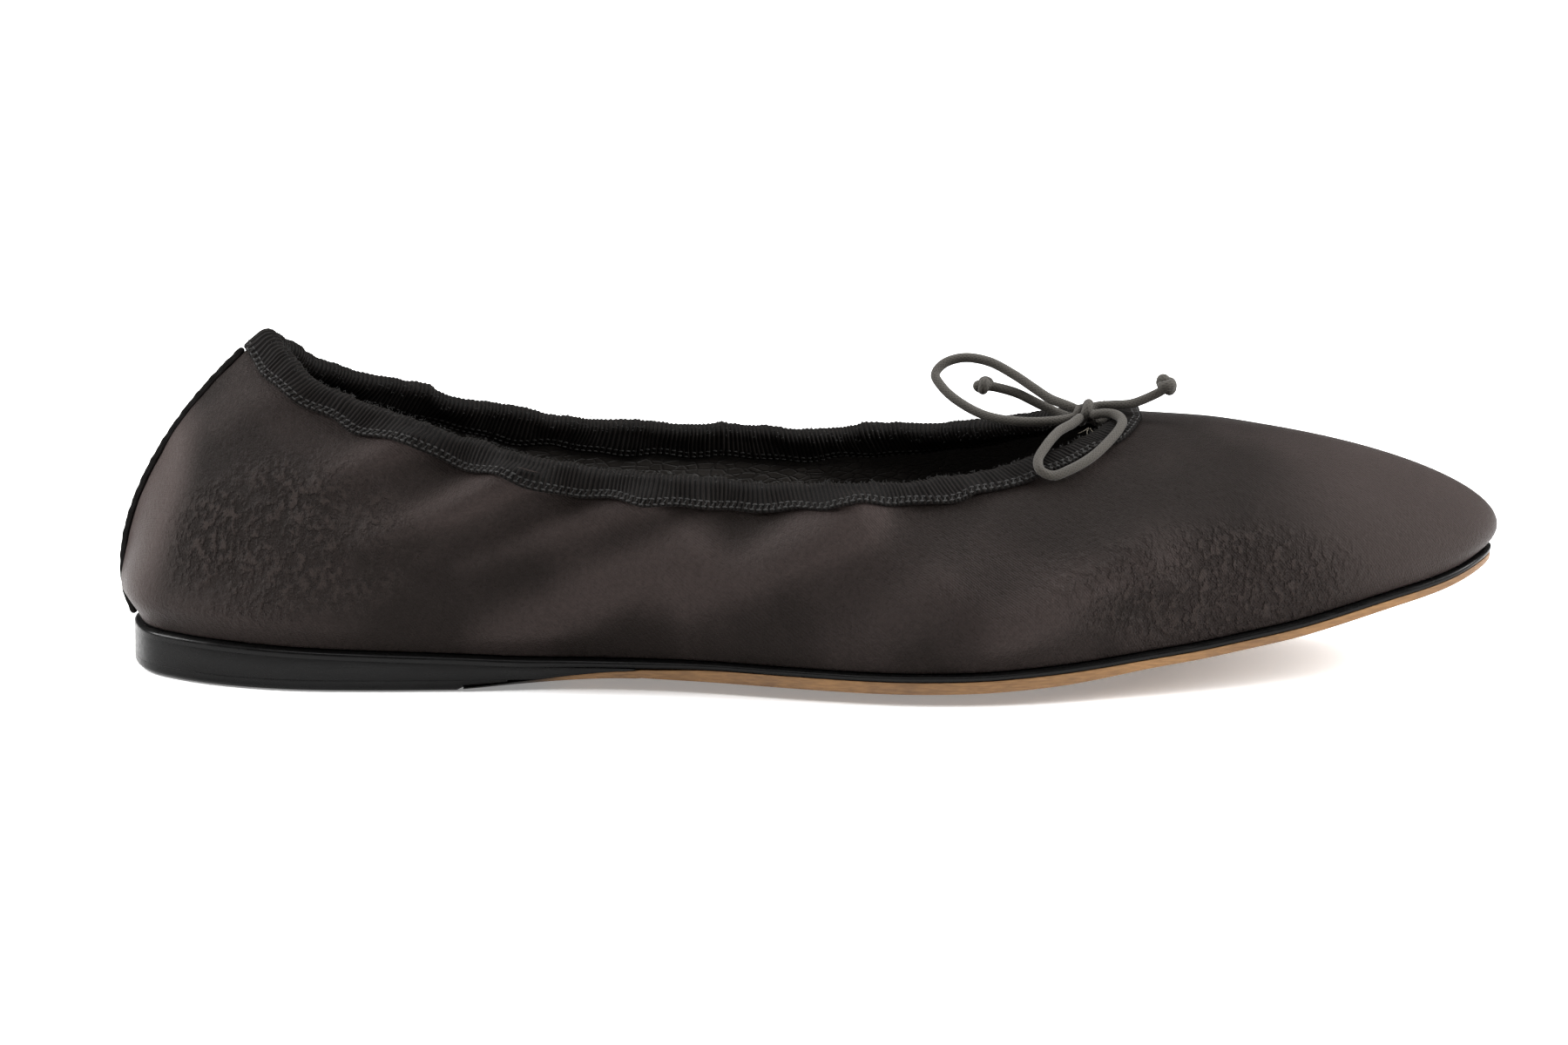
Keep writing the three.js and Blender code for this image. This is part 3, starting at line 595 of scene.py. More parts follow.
def scatter(name: str, centres: Array, along: Array, out: Array, sizes: Triple) -> Piece:
    """Many small stitches, each a rounded bead modelled once and copied into one mesh.

    Args:
        name: the piece's name.
        centres: the middle of each, in metres.
        along: the direction that each lies in.
        out: the direction that each stands out in.
        sizes: half of the length, width and height, in millimetres.

    Returns:
        The piece.
    """
    deselect()
    bpy.ops.mesh.primitive_uv_sphere_add(segments=6, ring_count=5, radius=1)
    bead = bpy.context.object
    shape = np.array([v.co for v in bead.data.vertices])
    faces = [list(f.vertices) for f in bead.data.polygons]
    bpy.data.objects.remove(bead)
    along = unit(along)
    side = unit(np.cross(out, along))
    up = np.cross(along, side)
    length, width, height = (size * MM for size in sizes)
    spot = (centres[:, None] + shape[None, :, 2, None] * length * along[:, None]
            + shape[None, :, 0, None] * width * side[:, None]
            + shape[None, :, 1, None] * height * up[:, None])
    mesh = bpy.data.meshes.new(name)
    all_faces = [[k + i * len(shape) for k in f] for i in range(len(centres)) for f in faces]
    mesh.from_pydata(spot.reshape(-1, 3).tolist(), [], all_faces)
    piece = bpy.data.objects.new(name, mesh)
    bpy.context.collection.objects.link(piece)
    bpy.context.view_layer.objects.active = piece
    piece.select_set(True)
    bpy.ops.object.mode_set(mode="EDIT")
    bpy.ops.mesh.select_all(action="SELECT")
    bpy.ops.mesh.normals_make_consistent(inside=False)
    bpy.ops.object.mode_set(mode="OBJECT")
    bpy.ops.object.shade_smooth()
    return piece


# ---------------------------------------------------------------- finishes
class Paint:
    """One material and the nodes that paint it, all read from the piece's own coordinates."""

    def __init__(self, name: str, **surface: object) -> None:
        """Starts a material.

        Args:
            name: the material's name.
            surface: values set on the shader's own sockets, with underlines for spaces.
        """
        self.material = bpy.data.materials.new(name)
        self.material.use_nodes = True
        self.tree = self.material.node_tree
        self.shader = self.tree.nodes["Principled BSDF"]
        for key, value in surface.items():
            self.shader.inputs[key.replace("_", " ")].default_value = value
        coordinates = self.tree.nodes.new("ShaderNodeTexCoord")
        self.object = coordinates.outputs["Object"]
        self.uv = coordinates.outputs["UV"]

    def _put(self, socket: Socket, value: object) -> None:
        """Links a socket to another, or sets it.

        Args:
            socket: the socket to fill.
            value: a socket or a plain value.
        """
        if isinstance(value, Socket):
            self.tree.links.new(value, socket)
        else:
            socket.default_value = value

    def _node(self, kind: str, **settings: object) -> bpy.types.Node:
        """A new node with its settings.

        Args:
            kind: the node's type.
            settings: what to set on it.

        Returns:
            The node.
        """
        node = self.tree.nodes.new(kind)
        for key, value in settings.items():
            setattr(node, key, value)
        return node

    def stretch(self, scale: Triple, turn: Triple = (0, 0, 0), at: object = None) -> Socket:
        """The coordinates scaled and turned.

        Args:
            scale: the factor along each axis.
            turn: the turn about each axis.
            at: the coordinates to read, or the piece's own.

        Returns:
            The result's socket.
        """
        node = self._node("ShaderNodeMapping")
        self._put(node.inputs["Vector"], at or self.object)
        node.inputs["Scale"].default_value = scale
        node.inputs["Rotation"].default_value = turn
        return node.outputs["Vector"]

    def noise(self, scale: float, detail: float = 2, rough: float = 0.5, at: object = None) -> Socket:
        """Cloudy noise, with the scale in repeats per metre.

        Args:
            scale: repeats per metre.
            detail: how many finer layers it has.
            rough: how strong the finer layers are.
            at: the coordinates to read, or the piece's own.

        Returns:
            The result's socket.
        """
        node = self._node("ShaderNodeTexNoise")
        self._put(node.inputs["Vector"], at or self.object)
        node.inputs["Scale"].default_value = scale
        node.inputs["Detail"].default_value = detail
        node.inputs["Roughness"].default_value = rough
        return node.outputs["Fac"]

    def cells(self, scale: float, at: object = None) -> Socket:
        """The distance to the nearest edge between cells, as leather creases have it.

        Args:
            scale: cells per metre.
            at: the coordinates to read, or the piece's own.

        Returns:
            The result's socket.
        """
        node = self._node("ShaderNodeTexVoronoi", feature="DISTANCE_TO_EDGE")
        self._put(node.inputs["Vector"], at or self.object)
        node.inputs["Scale"].default_value = scale
        return node.outputs["Distance"]

    def waves(self, scale: float, bend: float = 0, direction: str = "X", at: object = None) -> Socket:
        """Straight bands, with the scale in bands per metre or unit.

        Args:
            scale: bands per metre or unit.
            bend: how much the bands are bent.
            direction: the axis that they cross.
            at: the coordinates to read, or the piece's own.

        Returns:
            The result's socket.
        """
        node = self._node("ShaderNodeTexWave", bands_direction=direction)
        self._put(node.inputs["Vector"], at or self.object)
        node.inputs["Scale"].default_value = scale / 20 * 2 * math.pi
        node.inputs["Distortion"].default_value = bend
        return node.outputs["Fac"]

    def maths(self, operation: str, a: object, b: object = 0.0) -> Socket:
        """One sum on two values.

        Args:
            operation: the node's own name for the sum.
            a: the first value.
            b: the second value.

        Returns:
            The result's socket.
        """
        node = self._node("ShaderNodeMath", operation=operation)
        self._put(node.inputs[0], a)
        self._put(node.inputs[1], b)
        return node.outputs[0]

    def times(self, a: object, b: object) -> Socket:
        """The product of two values."""
        return self.maths("MULTIPLY", a, b)

    def plus(self, a: object, b: object) -> Socket:
        """The sum of two values."""
        return self.maths("ADD", a, b)

    def across(self, place: Socket, axis: str) -> Socket:
        """One axis of a coordinate.

        Args:
            place: the coordinate.
            axis: its axis, X, Y or Z.

        Returns:
            The result's socket.
        """
        node = self._node("ShaderNodeSeparateXYZ")
        self._put(node.inputs[0], place)
        return node.outputs[axis]

    def band(self, value: object, low: float, high: float, to: tuple[float, float] = (0, 1)) -> Socket:
        """A value spread smoothly from one range to another.

        Args:
            value: the value.
            low: where its range starts.
            high: where its range ends.
            to: the range that it's spread to.

        Returns:
            The result's socket.
        """
        node = self._node("ShaderNodeMapRange", interpolation_type="SMOOTHSTEP")
        self._put(node.inputs["Value"], value)
        node.inputs["From Min"].default_value = low
        node.inputs["From Max"].default_value = high
        node.inputs["To Min"].default_value, node.inputs["To Max"].default_value = to
        return node.outputs["Result"]

    def patch(self, centre: Array, radii: Triple) -> Socket:
        """A soft spot: 1 at its middle, falling to 0 at its radii.

        Args:
            centre: the middle, in metres.
            radii: the radii, in millimetres.

        Returns:
            The result's socket.
        """
        node = self._node("ShaderNodeMapping", vector_type="TEXTURE")
        self._put(node.inputs["Vector"], self.object)
        node.inputs["Location"].default_value = tuple(centre)
        node.inputs["Scale"].default_value = tuple(r * MM for r in radii)
        size = self._node("ShaderNodeVectorMath", operation="LENGTH")
        self._put(size.inputs[0], node.outputs["Vector"])
        return self.band(size.outputs["Value"], 0.5, 1.05, (1, 0))

    def blend(self, share: object, a: object, b: object) -> Socket:
        """One colour going over to another.

        Args:
            share: how much of the second colour there is.
            a: the first colour.
            b: the second colour.

        Returns:
            The result's socket.
        """
        node = self._node("ShaderNodeMix", data_type="RGBA")
        self._put(node.inputs["Factor"], share)
        for name, value in (("A", a), ("B", b)):
            socket = [i for i in node.inputs if i.name == name and i.type == "RGBA"][0]
            self._put(socket, value if isinstance(value, Socket) else (*value, 1))
        return [o for o in node.outputs if o.type == "RGBA"][0]

    def relief(self, height: object, depth: float, below: object = None) -> Socket:
        """Raises the surface by a height, with its depth in metres.

        Args:
            height: the height, from 0 to 1.
            depth: how high 1 stands.
            below: the relief that this one lies on.

        Returns:
            The normal's socket.
        """
        node = self._node("ShaderNodeBump")
        node.inputs["Strength"].default_value = 1
        node.inputs["Distance"].default_value = depth
        self._put(node.inputs["Height"], height)
        if below is not None:
            self._put(node.inputs["Normal"], below)
        return node.outputs["Normal"]

    def finish(self, colour: object, rough: object, normal: object = None) -> Material:
        """Links the colour, roughness and relief to the shader.

        Args:
            colour: the base colour.
            rough: the roughness.
            normal: the relief.

        Returns:
            The material.
        """
        self._put(self.shader.inputs["Base Color"], colour)
        self._put(self.shader.inputs["Roughness"], rough)
        if normal is not None:
            self._put(self.shader.inputs["Normal"], normal)
        return self.material


@dataclass(frozen=True)
class Satin:
    """Dark charcoal satin: fine warp, soft cloudy wear, two patches rubbed to a nap, painted light on
    the fold crests, painted shade in the fold valleys and at a slack hollow of the vamp, and painted
    highlights at the toe and the back of the heel.
    """

    last: Last
    # The colour of the painted shade in the fold valleys and at the slack hollow of the vamp.
    valley: Triple = (0.0036, 0.0026, 0.0020)
    deep: Triple = (0.0074, 0.0056, 0.0050)
    light: Triple = (0.0260, 0.0194, 0.0180)
    nap: Triple = (0.0190, 0.0145, 0.0130)
    # The colour of the painted highlights at the toe and the back of the heel.
    painted_highlight: Triple = (0.0500, 0.0385, 0.0360)
    heel_nap: Spot = ((30, -25, 28), (30, 18, 18))
    toe_nap: Spot = ((193, -26, 20), (38, 20, 13))
    # A spot of painted shade at the slack hollow on the side of the vamp.
    slack_and_painted_shade: Spot = ((174, -24, 31), (26, 20, 12))
    # Spots of painted highlight at the toe and at the back of the heel.
    toe_painted_highlight: Spot = ((240, -6, 28), (44, 32, 24))
    heel_painted_highlight: Spot = ((4, -6, 34), (14, 16, 40))
    nap_height: float = 0.0009
    weave_height: float = 0.00012

    def _spot(self, p: Paint, spot: Spot) -> Socket:
        """A soft spot on both sides of the shoe.

        Args:
            p: the material to paint.
            spot: the outer side's spot.

        Returns:
            The result's socket.
        """
        (x, y, z), radii = spot
        sides = [self.last.place((x, y * side, z)) for side in (1, -1)]
        return p.maths("MAXIMUM", *[p.patch(middle, radii) for middle in sides])

    def make(self) -> Material:
        """Lays the satin's nodes.

        Returns:
            The material.
        """
        p = Paint("satin", Sheen_Weight=0.02, Sheen_Roughness=0.35, Sheen_Tint=(0.86, 0.74, 0.71, 1),
                  Specular_IOR_Level=0.08, Specular_Tint=(1.0, 0.88, 0.85, 1))
        cloud = p.band(p.noise(38, 3), 0.3, 0.7)
        grain = p.band(p.noise(1300, 4, 0.75), 0.32, 0.68)
        # The fold height, read from the pattern: the fold crests are painted lighter, a painted light,
        # and the valleys darker.
        crest = p.band(p.across(p.uv, "Y"), 0.05, 0.5)
        share = p.plus(p.times(cloud, 0.2), p.times(grain, 0.35))
        share = p.plus(share, p.times(crest, 0.45))
        face = p.blend(share, self.deep, self.light)
        # Painted shade: the fold valleys are painted towards the valley colour.
        painted_valley_shade = p.times(p.maths("SUBTRACT", 1.0, crest), p.band(cloud, 0.1, 0.9, (0.8, 0.25)))
        # Painted shade at the slack hollow of the vamp.
        slack_and_painted_shade = p.times(self._spot(p, self.slack_and_painted_shade), 0.8)
        cloth = p.blend(p.maths("MAXIMUM", painted_valley_shade, slack_and_painted_shade), face, self.valley)
        # Painted highlights at the toe and the back of the heel.
        painted_highlight_share = p.maths("MAXIMUM", p.times(self._spot(p, self.toe_painted_highlight), 0.55),
                         self._spot(p, self.heel_painted_highlight))
        cloth = p.blend(p.times(painted_highlight_share, 0.75), cloth, self.painted_highlight)
        worn = p.maths("MAXIMUM", self._spot(p, self.heel_nap), self._spot(p, self.toe_nap))
        worn = p.times(worn, p.band(p.noise(150, 2), 0.28, 0.52))
        pills = p.band(p.noise(760, 3, 0.55, p.stretch((1, 0.85, 0.75))), 0.4, 0.62)
        nap = p.times(worn, pills)
        colour = p.blend(nap, cloth, self.nap)
        warp = p.waves(2900, 1.4, "DIAGONAL")
        normal = p.relief(nap, self.nap_height)
        normal = p.relief(p.plus(p.times(warp, 0.35), grain), self.weave_height, normal)
        rough = p.plus(p.times(worn, 0.2), p.plus(p.times(cloud, 0.06), 0.42))
        return p.finish(colour, rough, normal)


@dataclass(frozen=True)
class Ribbon:
    """Near-black ribbed ribbon with a slightly fuzzy face; the valleys between the ribs are painted
    darker, a painted shade.
    """

    deep: Triple = (0.0010, 0.0009, 0.0008)
    light: Triple = (0.0090, 0.0073, 0.0065)

    def make(self) -> Material:
        """Lays the ribbon's nodes.

        Returns:
            The material.
        """
        p = Paint("ribbon", Sheen_Weight=0.015, Sheen_Roughness=0.4, Sheen_Tint=(0.8, 0.74, 0.7, 1),
                  Specular_IOR_Level=0.05)
        fuzz = p.noise(2400, 3, 0.7)
        patchy = p.noise(120, 2)
        crest = p.band(p.waves(1, 0, "X", p.uv), 0.25, 0.9)
        share = p.plus(p.times(p.band(fuzz, 0.3, 0.75), 0.35),
                       p.times(p.band(patchy, 0.35, 0.7), 0.25))
        # Painted shade: the valleys between the ribs are painted darker.
        share = p.times(p.plus(share, 0.3), p.plus(p.times(crest, 0.85), 0.15))
        return p.finish(p.blend(share, self.deep, self.light), p.band(fuzz, 0.2, 0.8, (0.5, 0.7)),
                        p.relief(crest, 0.00012, p.relief(fuzz, 0.00006)))


@dataclass(frozen=True)
class LiningLeather:
    """Thin black lining leather with fine creases, painted darker along the crease lines as painted
    shade.
    """

    deep: Triple = (0.019, 0.0165, 0.0145)
    light: Triple = (0.036, 0.031, 0.027)

    def make(self) -> Material:
        """Lays the lining's nodes.

        Returns:
            The material.
        """
        p = Paint("lining_leather", Specular_IOR_Level=0.4)
        warped = p.stretch((0.6, 1, 1.6))
        creases = p.band(p.cells(640, warped), 0, 0.14)
        cloud = p.noise(60, 3)
        pores = p.noise(2500, 2)
        # Painted shade: the crease lines are painted towards the deep colour.
        colour = p.blend(p.times(creases, p.band(cloud, 0.3, 0.7)), self.deep, self.light)
        normal = p.relief(pores, 0.00005, p.relief(creases, 0.00009))
        return p.finish(colour, p.band(cloud, 0.3, 0.7, (0.42, 0.6)), normal)


@dataclass(frozen=True)
class EdgeBlack:
    """Smooth black sole rubber and edge paint, a little scuffed."""

    name: str = "sole_black"
    deep: Triple = (0.0025, 0.0024, 0.0024)
    light: Triple = (0.0060, 0.0058, 0.0057)
    gloss: tuple[float, float] = (0.24, 0.36)

    def make(self) -> Material:
        """Lays the rubber's nodes.

        Returns:
            The material.
        """
        p = Paint(self.name, Specular_IOR_Level=0.1)
        cloud = p.noise(70, 4)
        scuff = p.noise(900, 4, 0.65, p.stretch((0.12, 1, 1)))
        colour = p.blend(p.times(p.band(scuff, 0.45, 0.8), p.band(cloud, 0.3, 0.7)),
                         self.deep, self.light)
        return p.finish(colour, p.band(scuff, 0.3, 0.7, self.gloss), p.relief(scuff, 0.00003))


@dataclass(frozen=True)
class SoleLeather:
    """Tan sole leather: cut fibres along its edge, and a burnished face."""

    deep: Triple = (0.085, 0.040, 0.013)
    light: Triple = (0.225, 0.118, 0.043)
    ink: Triple = (0.0040, 0.0036, 0.0032)
    inked: tuple[float, float] = (-0.052, -0.040)

    def make(self) -> Material:
        """Lays the leather's nodes.

        Returns:
            The material.
        """
        p = Paint("outsole_leather", Specular_IOR_Level=0.35)
        fibre = p.noise(1500, 4, 0.6, p.stretch((0.25, 0.4, 2.2)))
        cloud = p.noise(45, 3)
        share = p.plus(p.times(p.band(fibre, 0.3, 0.7), 0.45),
                       p.times(p.band(cloud, 0.3, 0.7), 0.45))
        colour = p.blend(share, self.deep, self.light)
        inked = p.band(p.across(p.object, "X"), *self.inked, (1, 0))
        return p.finish(p.blend(inked, colour, self.ink), p.band(cloud, 0.3, 0.7, (0.5, 0.65)),
                        p.relief(fibre, 0.00006))


@dataclass(frozen=True)
class Braid:
    """Round elastic cord in a fine grey-olive braid; the pattern follows the cord."""

    name: str = "cord"
    deep: Triple = (0.007, 0.0061, 0.0049)
    light: Triple = (0.045, 0.039, 0.031)

    def make(self) -> Material:
        """Lays the braid's nodes.

        Returns:
            The material.
        """
        p = Paint(self.name, Sheen_Weight=0.08, Sheen_Roughness=0.5, Specular_IOR_Level=0.25)
        right = p.waves(2.1, 0, "X", p.stretch((1, 1, 1), (0, 0, math.radians(38)), p.uv))
        left = p.waves(2.1, 0, "X", p.stretch((1, 1, 1), (0, 0, math.radians(-38)), p.uv))
        strands = p.maths("MAXIMUM", right, left)
        fuzz = p.noise(3000, 2)
        share = p.plus(p.times(strands, 0.45), p.times(fuzz, 0.4))
        normal = p.relief(fuzz, 0.00006, p.relief(strands, 0.00005))
        return p.finish(p.blend(share, self.deep, self.light), 0.72, normal)


@dataclass(frozen=True)
class Fibre:
    """A plain pressed, foamed or milled stuff of the inside: cloudy colour and grain at one scale."""

    name: str
    deep: Triple
    light: Triple
    grain: float
    rough: float
    metal: float = 0.0

    def make(self) -> Material:
        """Lays the nodes.

        Returns:
            The material.
        """
        p = Paint(self.name, Metallic=self.metal)
        grain = p.noise(self.grain, 4, 0.65)
        cloud = p.noise(self.grain / 12, 2)
        share = p.plus(p.times(grain, 0.6), p.times(cloud, 0.4))
        return p.finish(p.blend(p.band(share, 0.3, 0.7), self.deep, self.light),
                        p.band(grain, 0.3, 0.7, (self.rough - 0.08, self.rough + 0.08)),
                        p.relief(grain, 0.05 / self.grain))


def dress(piece: Piece, material: Material, slot: str, body: Body, *stands_for: str) -> None:
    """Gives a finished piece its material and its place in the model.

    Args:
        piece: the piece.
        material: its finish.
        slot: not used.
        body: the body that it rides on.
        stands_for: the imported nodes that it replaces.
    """
    piece.data.materials.clear()
    piece.data.materials.append(material)
    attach(piece, body.value)
    if stands_for:
        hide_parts(*stands_for)
    triangles = sum(len(f.vertices) - 2 for f in piece.data.polygons)
    LOG.info("%s: %d triangles", piece.name, triangles)


# ---------------------------------------------------------------- camera and light
@dataclass
class Studio:
    """The camera, the floor and the soft lights."""

    last: Last
    aim: Triple = (121.78, 0, 25.29)
    distance: float = 1400
    elevation: float = 12
    lens: float = 176
    floor_glow: float = 0.25
    surround: float = 0.15

    def camera(self) -> None:
        """A long lens from the outer side, a little above the shoe."""
        rise = math.radians(self.elevation)
        aim = Vector(self.last.place(self.aim))
        eye = aim + Vector((0, -math.cos(rise), math.sin(rise))) * self.distance * MM
        deselect()
        bpy.ops.object.camera_add(location=eye, rotation=(math.pi / 2 - rise, 0, 0))
        camera = bpy.context.object
        camera.data.lens = self.lens
        camera.data.sensor_width = 36
        camera.data.clip_end = 20
        bpy.context.scene.camera = camera

    def floor(self) -> None:
        """A plain pale floor."""
        deselect()
        bpy.ops.mesh.primitive_plane_add(size=8, location=(0, 0, -0.0002))
        floor = bpy.context.object
        floor.name = "floor"
        p = Paint("floor", Specular_IOR_Level=0.1, Emission_Color=(1, 0.995, 0.985, 1),
                  Emission_Strength=self.floor_glow)
        pale = p.blend(p.noise(3), (0.93, 0.925, 0.92), (0.95, 0.95, 0.95))
        floor.data.materials.append(p.finish(pale, 0.9))

    def light(self, name: str, place: Triple, aim: Triple, size: tuple[float, float],
              power: float) -> None:
        """One soft box, placed in metres and turned to its aim.

        Args:
            name: the lamp's name.
            place: where it hangs, in metres.
            aim: what it points at, in metres.
            size: its width and height.
            power: in watts.
        """
        deselect()
        direction = Vector(aim) - Vector(place)
        turn = direction.to_track_quat("-Z", "Y").to_euler()
        bpy.ops.object.light_add(type="AREA", location=place, rotation=turn)
        lamp = bpy.context.object
        lamp.name = name
        lamp.data.shape = "RECTANGLE"
        lamp.data.size, lamp.data.size_y = size
        lamp.data.energy = power

    def lights(self) -> None:
        """A wide box overhead, a key above the camera, one off either end, and a pale surround."""
        middle = (0, 0, 0.02)
        self.light("overhead", place=(0.1, 0.35, 1.3), aim=(0, 0, 0), size=(2.2, 0.7), power=30)
        self.light("key", place=(-0.25, -0.8, 1.05), aim=middle, size=(0.9, 0.4), power=7)
        self.light("toe_side", place=(1.3, -0.1, 0.7), aim=middle, size=(0.6, 0.6), power=40)
        self.light("heel_side", place=(-1.2, 0.1, 0.7), aim=middle, size=(0.6, 0.6), power=28)
        world = bpy.data.worlds.new("surround")
        bpy.context.scene.world = world
        world.use_nodes = True
        sky = world.node_tree.nodes["Background"].inputs
        sky["Color"].default_value = (1, 1, 1, 1)
        sky["Strength"].default_value = self.surround
        bpy.context.scene.view_settings.view_transform = "Standard"

    def build(self) -> None:
        """Sets the whole studio."""
        self.camera()
        self.floor()
        self.lights()


# ---------------------------------------------------------------- bow
@dataclass
class Bow:
    """The two ends of the drawcord, tied at the throat, with a knot at the end of each."""

    last: Last
    diameter: float = 1.8
    outer_exit: Triple = (180.05, -3.3, 44.5)
    inner_exit: Triple = (180.1, 1.2, 44.4)
    knot: Triple = (176.4, -3.6, 46.5)
    rear_knot: Triple = (158.2, 3.6, 50.1)
    front_knot: Triple = (191.3, -1.9, 51.3)
    outer_start: Places = ((180.05, -3.3, 44.5), (178.5, -3.6, 44.9), (176.6, -3.0, 46.0))
    loop_rear: Places = (
        (174, -2.2, 47.2), (170.1, 0, 48.4), (167.6, 1.5, 49.8), (163.6, 4, 52.1), (159.1, 6, 54.1),
        (154.5, 7, 54.6), (151, 6.5, 53.6), (149.4, 5, 51.9), (150.4, 3, 50.2), (152.9, 0.5, 48.2),
        (157.9, -2.5, 45.9), (163.6, -5, 45.2), (169.2, -6, 45.3), (174, -5.1, 45.8))
    tail_front: Places = (
        (176.2, -4.2, 46.8), (178.5, -3, 47.5), (181.5, -3.2, 47.8), (184.8, -3, 48),
        (188.3, -2.5, 49.2), (190.5, -2.1, 50.3), (191.4, -1.9, 51.1))
    inner_start: Places = ((180.1, 1.2, 44.4), (177.5, -1.3, 44.9), (175.9, -4.0, 45.7))
    loop_near: Places = (
        (175.2, -6.5, 45.9), (173.8, -9.5, 45.5), (171.4, -14, 45.1), (168.8, -19.9, 43.5),
        (167.3, -23.4, 41.6), (167.7, -25.1, 40.2), (169.9, -25, 39.2), (173, -23.7, 40),
        (176.8, -21, 41.6), (180, -17.1, 43.6), (182.4, -12.9, 45.5), (182.9, -10.3, 46.4),
        (181.7, -8, 47), (179.9, -6.9, 47), (178.2, -6, 46.6))
    tail_rear: Places = (
        (176.3, -4.0, 46.2), (174.2, -1.5, 45.2), (172.4, 0.3, 45.3), (168.2, 2, 47), (164.2, 3, 48.8),
        (160.4, 3.5, 49.8), (159, 3.55, 50))
    step: float = 0.22
    braid_depth: float = 0.025
    ring: float = 1.75
    second_turn: tuple[float, float] = (1.2, 1.05)
    knot_tilt: float = 24
    tail_knot_spread: float = 0.76
    tail_knot_tube: float = 0.66

    def _cord(self, name: str, parts: Sequence[Places]) -> tuple[Piece, Array, float]:
        """One end of the cord, from where it leaves the binding to its tail.

        Args:
            name: the piece's name.
            parts: the runs of points, in their order.

        Returns:
            The piece, its path and its length in metres.
        """
        path = self.last.place(spline([p for part in parts for p in part], self.step))
        radius = self.diameter / 2 * MM

        def strands(turn: Array, _: Array) -> Array:
            """The eight strands of the braid."""
            return self.braid_depth * MM * np.cos(8 * turn)

        piece = tube(name, path, radius - 0.03 * MM, 20, relief=strands)
        length = float(np.linalg.norm(np.diff(path, axis=0), axis=1).sum())
        LOG.info("%s is %.1f mm long", name, length / MM)
        return piece, path, length

    def cords(self, finish: Material) -> None:
        """Both ends of the cord, made as the free cords that they are.

        Args:
            finish: the cord's material.
        """
        outer = (self.outer_start, self.loop_rear, self.tail_front)
        a, path, length = self._cord("bow_cord_outer", outer)
        dress(a, finish, "cord", Body.BOW, "bow_loop_rear", "bow_tail_front", "cord_exit_outer")
        tuple(self.last.place(self.outer_exit))
        inner = (self.inner_start, self.loop_near, self.tail_rear)
        b, path, length = self._cord("bow_cord_inner", inner)
        dress(b, finish, "cord", Body.BOW, "bow_loop_near", "bow_tail_rear", "cord_exit_inner")
        tuple(self.last.place(self.inner_exit))

    def centre_knot(self) -> Piece:
        """The turn of cord that holds the two loops, tilted over them.

        Returns:
            The piece.
        """
        turn = np.linspace(0, 2 * np.pi, 90, endpoint=False)
        cos, sin = np.cos(turn)[:, None], np.sin(turn)[:, None]
        c = np.array(self.knot)
        tilt = math.radians(self.knot_tilt)
        across = np.array([math.sin(tilt), 0, math.cos(tilt)])
        ring = c + self.ring * cos * np.array([0, 1.0, 0]) + self.ring * sin * across
        reach, height = self.second_turn
        second = (c + [-1.5, -0.3, -0.2] + reach * cos * np.array([0.15, 1, 0.1])
                  + height * sin * across)
        radius = self.diameter / 2 * MM
        rings = [tube(f"turn_{i}", self.last.place(loop), radius * grow, 16, closed=True)
                 for i, (loop, grow) in enumerate(((ring, 1.0), (second, 0.8)))]
        return join("bow_centre_knot", rings)

    def tail_knot(self, name: str, centre: Triple, size: float, tilt: float) -> Piece:
        """An overhand knot drawn up tight at the end of a tail.

        Args:
            name: the piece's name.
            centre: its middle.
            size: its size, in millimetres.
            tilt: how far it leans, in radians.

        Returns:
            The piece.
        """
        turn = np.linspace(0, 2 * np.pi, 120, endpoint=False)
        trefoil = np.stack([np.sin(turn) + 2 * np.sin(2 * turn), np.cos(turn) - 2 * np.cos(2 * turn),
                            -1.3 * np.sin(3 * turn)], 1) / 3
        cos, sin = math.cos(tilt), math.sin(tilt)
        turned = trefoil @ np.array([[cos, 0, sin], [0, 1, 0], [-sin, 0, cos]])
        path = self.last.place(np.array(centre) + turned * size * self.tail_knot_spread)
        return tube(name, path, size * self.tail_knot_tube * MM, 14, closed=True)

    def frays(self) -> Piece:
        """The fine threads that have worked loose behind the knot and at the throat.

        Returns:
            The piece.
        """
        threads = (
            ((178.9, -1.6, 46.2), (179.3, -1.2, 48.2), (179.0, -0.9, 49.9)),
            ((179.2, -1.4, 46.2), (179.9, -1.1, 48.0), (180.3, -0.7, 49.2)),
            ((176.9, -7.6, 44.4), (176.0, -8.9, 44.1), (175.0, -9.6, 43.8)),
            ((176.9, -7.9, 44.4), (176.6, -9.6, 43.9), (177.1, -10.8, 43.3)),
            ((177.2, -7.8, 44.4), (177.7, -9.3, 44.0), (178.8, -10.2, 43.6)))
        pieces = [tube(f"thread_{i}", self.last.place(spline(thread, 0.3)), 0.1 * MM, 6, taper=0.5)
                  for i, thread in enumerate(threads)]
        return join("bow_frayed_threads", pieces)

    def build(self, finish: Material, thread: Material) -> None:
        """Makes the knots and the two cords.

        Args:
            finish: the cord's material.
            thread: the loose threads' material.
        """
        knots = {
            "centre": self.centre_knot(),
            "rear": self.tail_knot("bow_rear_tail_knot", self.rear_knot, 1.45, 0.5),
            "front": self.tail_knot("bow_front_tail_knot", self.front_knot, 1.58, -0.6),
        }
        dress(knots["centre"], finish, "cord", Body.BOW, "bow_knot")
        dress(knots["rear"], finish, "cord", Body.BOW, "bow_tail_knot_rear")
        dress(knots["front"], finish, "cord", Body.BOW, "bow_tail_knot_front")
        self.cords(finish)
        dress(self.frays(), thread, "cord", Body.BOW)


